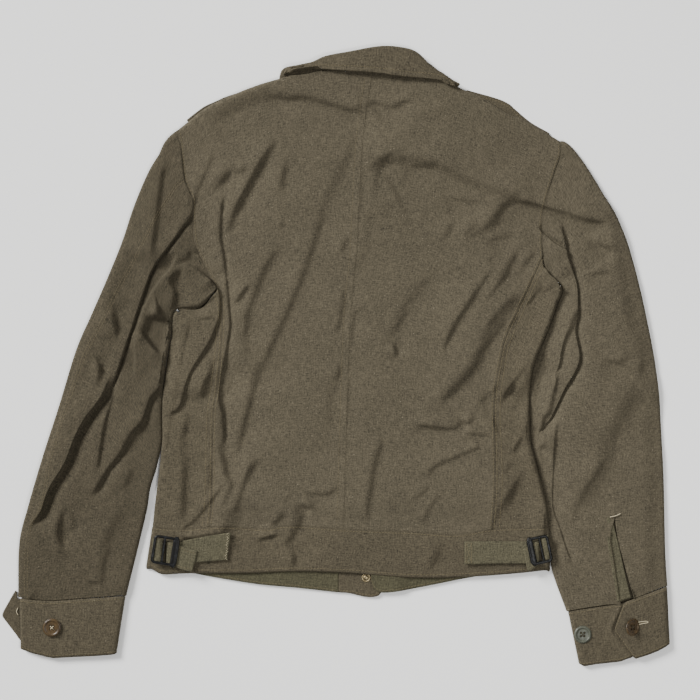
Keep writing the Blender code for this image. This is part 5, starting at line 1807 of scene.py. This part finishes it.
@dataclass
class ShoulderStrap:
    """Strap that lies flat under a shoulder edge and shows past it.

    Attributes:
        name: name of the piece.
        line: its outer edge.
        sewing: gathers the stitches.
        width: width of the strap.
    """

    name: str
    line: Rail
    sewing: Sewing
    width: float = 26.0

    def build(self) -> None:
        """Builds the strap."""
        u = np.linspace(0.0, 1.0, 70)
        v = steps_between(self.width, 1.4)
        top = self.line.at(u)
        low = top - side_normals(top, BODY_MIDDLE) * self.width
        plan = patch(top, low, straight(top[0], low[0], v), straight(top[-1], low[-1], v), u, v)
        outer = lift_to(plan, WALL + 0.2 * swell(plan, 6))
        cloth_piece(self.name, outer, WALL, top[0, 0] > top[-1, 0], lift_to(plan, 0.0))
        self.sewing.run("thread", inset(outer, "top", 2.4))


@dataclass
class Placket:
    """Facing that shows through the opening above the right cuff.

    Attributes:
        sewing: gathers the stitches.
        wall: thickness.
        top: height of its face.
    """

    sewing: Sewing
    wall: float = 1.6
    top: float = 8.3

    def build(self) -> None:
        """Builds the facing and the pale threads at its top and on it."""
        u = np.linspace(0.0, 1.0, 24)
        v = np.linspace(0.0, 1.0, 56)
        left = curve("302 -180 302.5 -206 307 -234 314 -274").at(v)
        right = curve("307.2 -182 313.6 -206 318.6 -228.5 321.8 -243 328.3 -269.5").at(v)
        plan = patch(straight(left[0], right[0], u), straight(left[-1], right[-1], u), left, right, u, v)
        outer = lift_to(plan, self.top - 0.6 * u[None] ** 2 + 0.2 * swell(plan, 8))
        cloth_piece("sleeve_placket_right", outer, self.wall)
        for line in (((305.4, -179.5, 9.0), (311, -178.2, 9.3), (316.6, -175.8, 9.0)),
                     ((309.4, -227.2, 7.0), (313.4, -225.2, 6.8))):
            self.sewing.add("thread_pale", tube(Rail(line).at(np.linspace(0, 1, 8)), 0.5, 7))


@dataclass
class Buckle:
    """Slide buckle of blacked steel: a flat frame with a bar across.

    Attributes:
        name: name of the piece.
        centre: middle of the frame in plan.
        turn: its slant in degrees.
        width, height: size over the frame.
        bar_at: how far the bar stands off the middle.
        plate_at, plate: the same of the broad flat bar, and its half width.
        base: height of its underside.
        thick: half width of the frame's wire.
        corner: radius of the frame's corners.
        flatness: height of the wire as a share of its width.
    """

    name: str
    centre: Point
    turn: float
    width: float
    height: float
    bar_at: float = -2.1
    plate_at: float = 10.6
    plate: float = 3.4
    base: float = ON_STRAP + STRAP_WALL / 2 + LAYER_GAP
    thick: float = 1.5
    corner: float = 3.2
    flatness: float = 0.62

    def build(self) -> None:
        """Builds the frame and its bars as one piece."""
        half = np.array([self.width, self.height]) / 2 - self.thick
        quarter = np.repeat(np.arange(4), 7)
        angle = np.radians(np.tile(np.linspace(0.0, 90.0, 7), 4) + 90.0 * quarter)
        signs = np.array([(1, 1), (-1, 1), (-1, -1), (1, -1)])[quarter]
        arc = np.column_stack([np.cos(angle), np.sin(angle)])
        path = lift_to(signs * (half - self.corner) + self.corner * arc, 0.0)
        bars = [tube(self.place(path), self.thick, 12, True, self.flatness)]
        for at, radius, squash in ((self.bar_at, self.thick * 0.85, self.flatness),
                                   (self.plate_at, self.plate, 0.3)):
            line = np.array([(at, y, -0.1) for y in np.linspace(-half[1], half[1], 9)])
            bars.append(tube(self.place(line), radius, 12, False, squash))
        dress(joined(self.name + "_fitting", bars), "steel", (self.name,))

    def place(self, points: Array) -> Array:
        """Points of the buckle turned and moved to its place."""
        cos, sin = math.cos(math.radians(self.turn)), math.sin(math.radians(self.turn))
        plan = points[:, :2] @ np.array([(cos, sin), (-sin, cos)]) + np.array(self.centre)
        return lift_to(plan, points[:, 2] + self.base + self.thick * self.flatness)


@dataclass
class SewnButton:
    """Four-hole button with a raised rim, sewn on with two crossed threads.

    Attributes:
        name: name of the piece.
        centre: middle in plan.
        radius: radius of the rim.
        seat: height of the cloth under it.
        finish: key of its material.
        slot: material slot; not used.
        thread: key of the thread through its holes.
        tilt: slant of its face across X and Y, in degrees.
        sewing: gathers its thread.
        height: thickness of the button.
        dish, rim: height of the dished face and of the rim on it, as shares of that.
        rim_at, rim_width: where the rim is highest and how wide, as shares of the radius.
        rounding: how far the face drops at its edge.
        hole, hole_depth: radius and depth of its holes.
        hole_at: how far they lie off the middle, across and along.
        sides: number of points round it.
    """

    name: str
    centre: Point
    radius: float
    seat: float
    finish: str
    slot: Slot
    thread: str
    tilt: Point
    sewing: Sewing
    height: float = 3.2
    dish: float = 0.66
    rim: float = 0.30
    rim_at: float = 0.84
    rim_width: float = 0.13
    rounding: float = 0.5
    hole: float = 1.15
    hole_depth: float = 1.6
    hole_at: float = 1.86676
    sides: int = 96

    def face_height(self, plan: Array) -> Array:
        """Height of the front face: rim, dished middle and four holes."""
        share = np.linalg.norm(plan, axis=-1) / self.radius
        rim = self.rim * np.exp(-((share - self.rim_at) / self.rim_width) ** 2)
        face = self.height * (self.dish + rim) - self.rounding * ease((share - 0.93) / 0.07) ** 2
        for corner in ((-1, -1), (-1, 1), (1, -1), (1, 1)):
            gap = np.linalg.norm(plan - self.hole_at * np.array(corner), axis=-1)
            face = face - self.hole_depth * ease((self.hole - gap) / 0.35 + 0.5)
        return face

    def build(self) -> None:
        """Builds the button and the thread that holds it."""
        turn = np.arange(self.sides) * 2 * math.pi / self.sides + math.radians(24)
        around = np.column_stack([np.cos(turn), np.sin(turn)])
        radii = np.concatenate([np.linspace(0.05, 4.4, 22), np.linspace(4.7, self.radius, 16)])
        plan = radii[:, None, None] * around
        rows = [lift_to(plan, self.face_height(plan))]
        for share, z in ((1.02, 0.62), (1.0, 0.42), (0.94, 0.24), (0.8, 0.1), (0.4, 0.04)):
            rows.append(lift_to(plan[-1:] * share, z * self.height))
        item = joined(self.name + "_fitting", [skin(self.place(np.concatenate(rows)))])
        dress(item, self.finish, (self.name,))
        z = self.height * self.dish
        for side in (-1, 1):
            for lift in (0.0, 0.3):
                end = np.array([side * self.hole_at, self.hole_at])
                line = [(*-end, z - 0.7), (*-end * 0.8, z + 0.25), (0.25 * lift, 0.0, z + 0.45 + lift),
                        (*end * 0.8, z + 0.25), (*end, z - 0.7)]
                path = Rail(np.array(line) + np.array([lift, 0.0, 0.0])).at(np.linspace(0, 1, 14))
                self.sewing.add(self.thread, tube(self.place(path), 0.32, 7))

    def place(self, points: Array) -> Array:
        """Points of the button tilted and moved to its place."""
        tilt = np.radians(self.tilt)
        slope = np.tan(tilt)
        base = self.seat + 0.2 + self.radius * np.abs(slope).sum() * 0.55
        plan = points[..., :2] * np.cos(tilt) + np.array(self.centre)
        return lift_to(plan, points[..., 2] + points[..., :2] @ slope + base)


@dataclass
class Snap:
    """Snap fastener on the front waistband: a stamped ring with a domed stud.

    Attributes:
        centre: middle in plan.
        seat: height of the cloth under it.
        sides: number of points round it.
    """

    centre: Point = (33.0, -248.0)
    seat: float = WALL + 0.3
    sides: int = 56

    def build(self) -> None:
        """Builds the snap from its half section, which runs from the stud down to the seat."""
        profile = np.array([(0.01, 2.32), (0.8, 2.3), (1.6, 2.2), (2.3, 1.9), (2.7, 1.2), (3.0, 0.8),
                            (3.4, 0.85), (3.8, 1.2), (4.5, 1.35), (5.15, 0.9), (5.2, 0.4), (4.6, 0.0),
                            (0.01, 0.0)])
        turn = np.arange(self.sides) * 2 * math.pi / self.sides
        plan = profile[:, :1, None] * np.column_stack([np.cos(turn), np.sin(turn)])
        grid = lift_to(plan + np.array(self.centre), profile[:, 1:] + self.seat)
        dress(joined("waistband_snap_fitting", [skin(grid)]), "brass", ("waistband_snap",))


# ======== Studio ========


@dataclass
class Studio:
    """Pale floor, soft light and the camera straight above.

    Attributes:
        centre: point of the plan in the middle of the picture, in millimetres.
        view: width of the picture on the floor, in millimetres.
        distance: height of the camera.
        sensor: width of the camera's sensor.
        floor_size: half width of the floor.
        floor_height: its height, a hair under the jacket's flat side.
    """

    centre: Point = (15.1, 6.7)
    view: float = 784.0
    distance: float = 2000.0
    sensor: float = 36.0
    floor_size: float = 6000.0
    floor_height: float = -0.2

    def build(self) -> None:
        """Builds floor, lights, world and camera."""
        scene = bpy.context.scene
        corners = self.floor_size * np.array([(-1, -1), (1, -1), (1, 1), (-1, 1)])
        floor = mesh_object("studio_floor", lift_to(corners, self.floor_height), [(0, 1, 2, 3)])
        n = Nodes("studio_floor_paper")
        n.set(Base_Color=linear("#FCFCFA"), Roughness=0.95, Specular_IOR_Level=0.1)
        floor.data.materials.append(n.material)
        world = bpy.data.worlds.new("studio_world")
        world.use_nodes = True
        background = world.node_tree.nodes["Background"]
        background.inputs["Color"].default_value = (1.0, 1.0, 1.0, 1.0)
        background.inputs["Strength"].default_value = 0.38
        scene.world = world
        self.lamp("key_light", (-5.6, 4.2, 4.1), 2.6, 1250.0)
        self.lamp("fill_light", (0.34, -0.30, 1.2), 0.35, 7.0)
        data = bpy.data.cameras.new("camera")
        data.sensor_width = self.sensor
        data.lens = self.sensor * self.distance / self.view
        data.clip_end = 20.0
        scene.camera = placed("camera", data, np.array([*self.centre, self.distance]) * MM)

    def lamp(self, name: str, place: tuple[float, float, float], size: float, power: float) -> None:
        """Adds a soft square light that points at the jacket.

        Args:
            name: name of the light.
            place: where it stands, in metres.
            size: its width, in metres.
            power: in watts.
        """
        data = bpy.data.lights.new(name, "AREA")
        data.energy = power
        data.size = size
        x, y, z = place
        turn = (0.0, math.atan2(math.hypot(x, y), z), math.atan2(y, x))
        placed(name, data, place).rotation_euler = turn


# ======== The jacket ========


class Jacket:
    """The whole jacket, built from the backs to the smallest fittings."""

    def __init__(self) -> None:
        """Lays out the parts that others need."""
        self.sewing = Sewing()
        self.body = Body(self.sewing)
        self.left = Sleeve("left", ARMHOLE_LEFT, SECTIONS_LEFT, (0.0, 0.2, 0.58, 1.0),
                           (0.0, 0.3, 0.65, 1.0), (-190, 242), self.sewing)
        self.right = Sleeve("right", ARMHOLE_RIGHT, SECTIONS_RIGHT, (0.0, 0.34, 0.66, 1.0),
                            (0.0, 0.375, 0.69, 1.0), (267, 229), self.sewing, slit=True)

    def build(self) -> None:
        """Builds every piece and logs each group."""
        steps = (("backs", self.backs), ("sleeves", self.sleeves), ("sides and fronts", self.sides),
                 ("collar", Collar(self.sewing).build), ("waistband", Waistband(self.sewing).build),
                 ("cuffs and straps", self.bands), ("fittings", self.fittings),
                 ("stitches", self.stitches))
        for label, make in steps:
            make()
            LOG.info("built %s", label)

    def backs(self) -> None:
        """Both halves of the back."""
        top = SHOULDER_LEFT + NECK_LEFT
        share = SHOULDER_LEFT.length / top.length
        self.body.back("back_left", top, (-1.0, share), WAIST_LEFT, ARMHOLE_LEFT + SIDE_BACK_LEFT,
                       CENTRE_SEAM, 0, unit(ARMHOLE_LEFT.points[0] - ARMHOLE_LEFT.points[4]))
        top = NECK_RIGHT + SHOULDER_RIGHT
        share = NECK_RIGHT.length / top.length
        self.body.back("back_right", top, (share, 2.0), WAIST_RIGHT, CENTRE_SEAM,
                       ARMHOLE_RIGHT + SIDE_BACK_RIGHT, -1,
                       unit(ARMHOLE_RIGHT.points[0] - ARMHOLE_RIGHT.points[4]))

    def sleeves(self) -> None:
        """Both sleeves."""
        self.left.build()
        self.right.build()

    def sides(self) -> None:
        """Side panels, whose edges follow the sleeves, and the fronts under them."""
        returns = {}
        for sleeve, last, low, seam, waist, arm in (
                (self.left, 7.0, BODY_EDGE_LEFT, SIDE_BACK_LEFT, WAIST_SIDE_LEFT, ARMHOLE_LEFT),
                (self.right, 9.0, BODY_EDGE_RIGHT, SIDE_BACK_RIGHT, WAIST_SIDE_RIGHT,
                 ARMHOLE_RIGHT)):
            lip = sleeve.inner_edge(np.linspace(0.0, 2.0, 40))
            edge = np.vstack([sleeve.inner_edge(np.linspace(2.0, last, 120)), low])
            side = self.body.side("side_" + sleeve.name, seam, lip, edge, waist)
            # The front reaches a little past the corner under the arm, and closes it
            corner = lip[-1] + 4.5 * unit(lip[-1] - side[len(side) // 4])
            returns[sleeve.name] = np.vstack([arm.at(np.linspace(0.12, 1.0, 20)), lip[4:-2], [corner],
                                              side])
        self.body.fronts(returns["left"], returns["right"])

    def bands(self) -> None:
        """Cuffs, placket, shoulder straps, waist straps and buckle loops."""
        s = self.sewing
        pressed = Relief(creases("2 2.6 0 4 1 1: 321 -275 308.6 -303 309.6 -308 333 -339"))
        Band("cuff_left", CUFF_LEFT, False, s).build()
        Band("cuff_right", CUFF_RIGHT, True, s, relief=pressed, relief_at=MID + TIP_LIFT).build()
        Placket(s).build()
        ShoulderStrap("shoulder_strap_left", STRAP_LEFT, s).build()
        ShoulderStrap("shoulder_strap_right", STRAP_RIGHT, s).build()
        for name, stations, mirrored in (("waist_strap_left", WAIST_STRAP_LEFT, True),
                                         ("waist_strap_right", WAIST_STRAP_RIGHT, False)):
            Band(name, stations, mirrored, s, STRAP_WALL, puff=0.1).build()
        for name, stations in (("buckle_loop_left", LOOP_LEFT), ("buckle_loop_right", LOOP_RIGHT)):
            Band(name, stations, False, s, STRAP_WALL, 0.8, edges=(), puff=0.1).build()

    def fittings(self) -> None:
        """Buckles, buttons, the snap and the threads beside them."""
        top = HIGH + CUFF_WALL / 2
        underlap = MID + CUFF_WALL / 2
        Buckle("buckle_left", (-190.5, -216.5), -9.0, 29.0, 32.0).build()
        Buckle("buckle_right", (226, -216), 12.0, 25.0, 31.0, 2.4, -8.4, 2.9).build()
        s = self.sewing
        for name, centre, radius, seat, finish, slot, thread, tilt in (
                ("cuff_button_left", (-317.5, -303), 10.0, top, "brown", Slot.BROWN, "thread_pale", (0, 0)),
                ("cuff_button_right", (330, -302), 9.6, top, "brown", Slot.BROWN, "thread_dark", (-30, -5)),
                ("spare_button_right", (275, -311), 9.6, underlap, "grey", Slot.GREY, "thread_dark",
                 (0, 0))):
            SewnButton(name, centre, radius, seat, finish, slot, thread, tilt, s).build()
        Snap().build()
        # Zigzag at the left strap's sewn end, and a crossed box at the right one's
        zigzag = [(-120.6 - 0.12 * k + (1.0 + 0.5 * math.sin(k * 2.3)) * (-1) ** k, -197.0 - 1.5 * k,
                   ON_BAND + 1.0) for k in range(21)]
        s.add("thread_pale", tube(np.array(zigzag), 0.2, 6))
        box = np.array([(144.2, -208.4), (150.6, -208.4), (150.6, -230.6), (144.2, -230.6),
                        (144.2, -208.4), (150.6, -230.6), (150.6, -208.4), (144.2, -230.6)])
        s.run("thread", lift_to(box, ON_BAND + 0.8), 2.2, 0.7, 0.24)
        for line in (((337, -300, top), (341, -298.8, top), (346.5, -297.8, top), (348, -296.8, top),
                      (346, -296, top), (341, -296.4, top), (337, -297, top)),
                     ((-356.5, -282, 2.0), (-357.8, -286, 2.2), (-356.2, -289.5, 2.0))):
            path = Rail(line).at(np.linspace(0, 1, 24)) + np.array([0.0, 0.0, 0.7])
            s.add("thread_pale", tube(path, 0.45, 7))

    def stitches(self) -> None:
        """All threads, one piece for each colour."""
        for key, parts in self.sewing.runs.items():
            item = joined("stitches_" + key, parts)
            dress(item, key)


def main() -> None:
    """Builds the studio and the jacket."""
    logging.basicConfig(level=logging.INFO, format="%(message)s")
    Studio().build()
    LOG.info("built studio")
    Jacket().build()


if __name__ == "__main__":
    main()
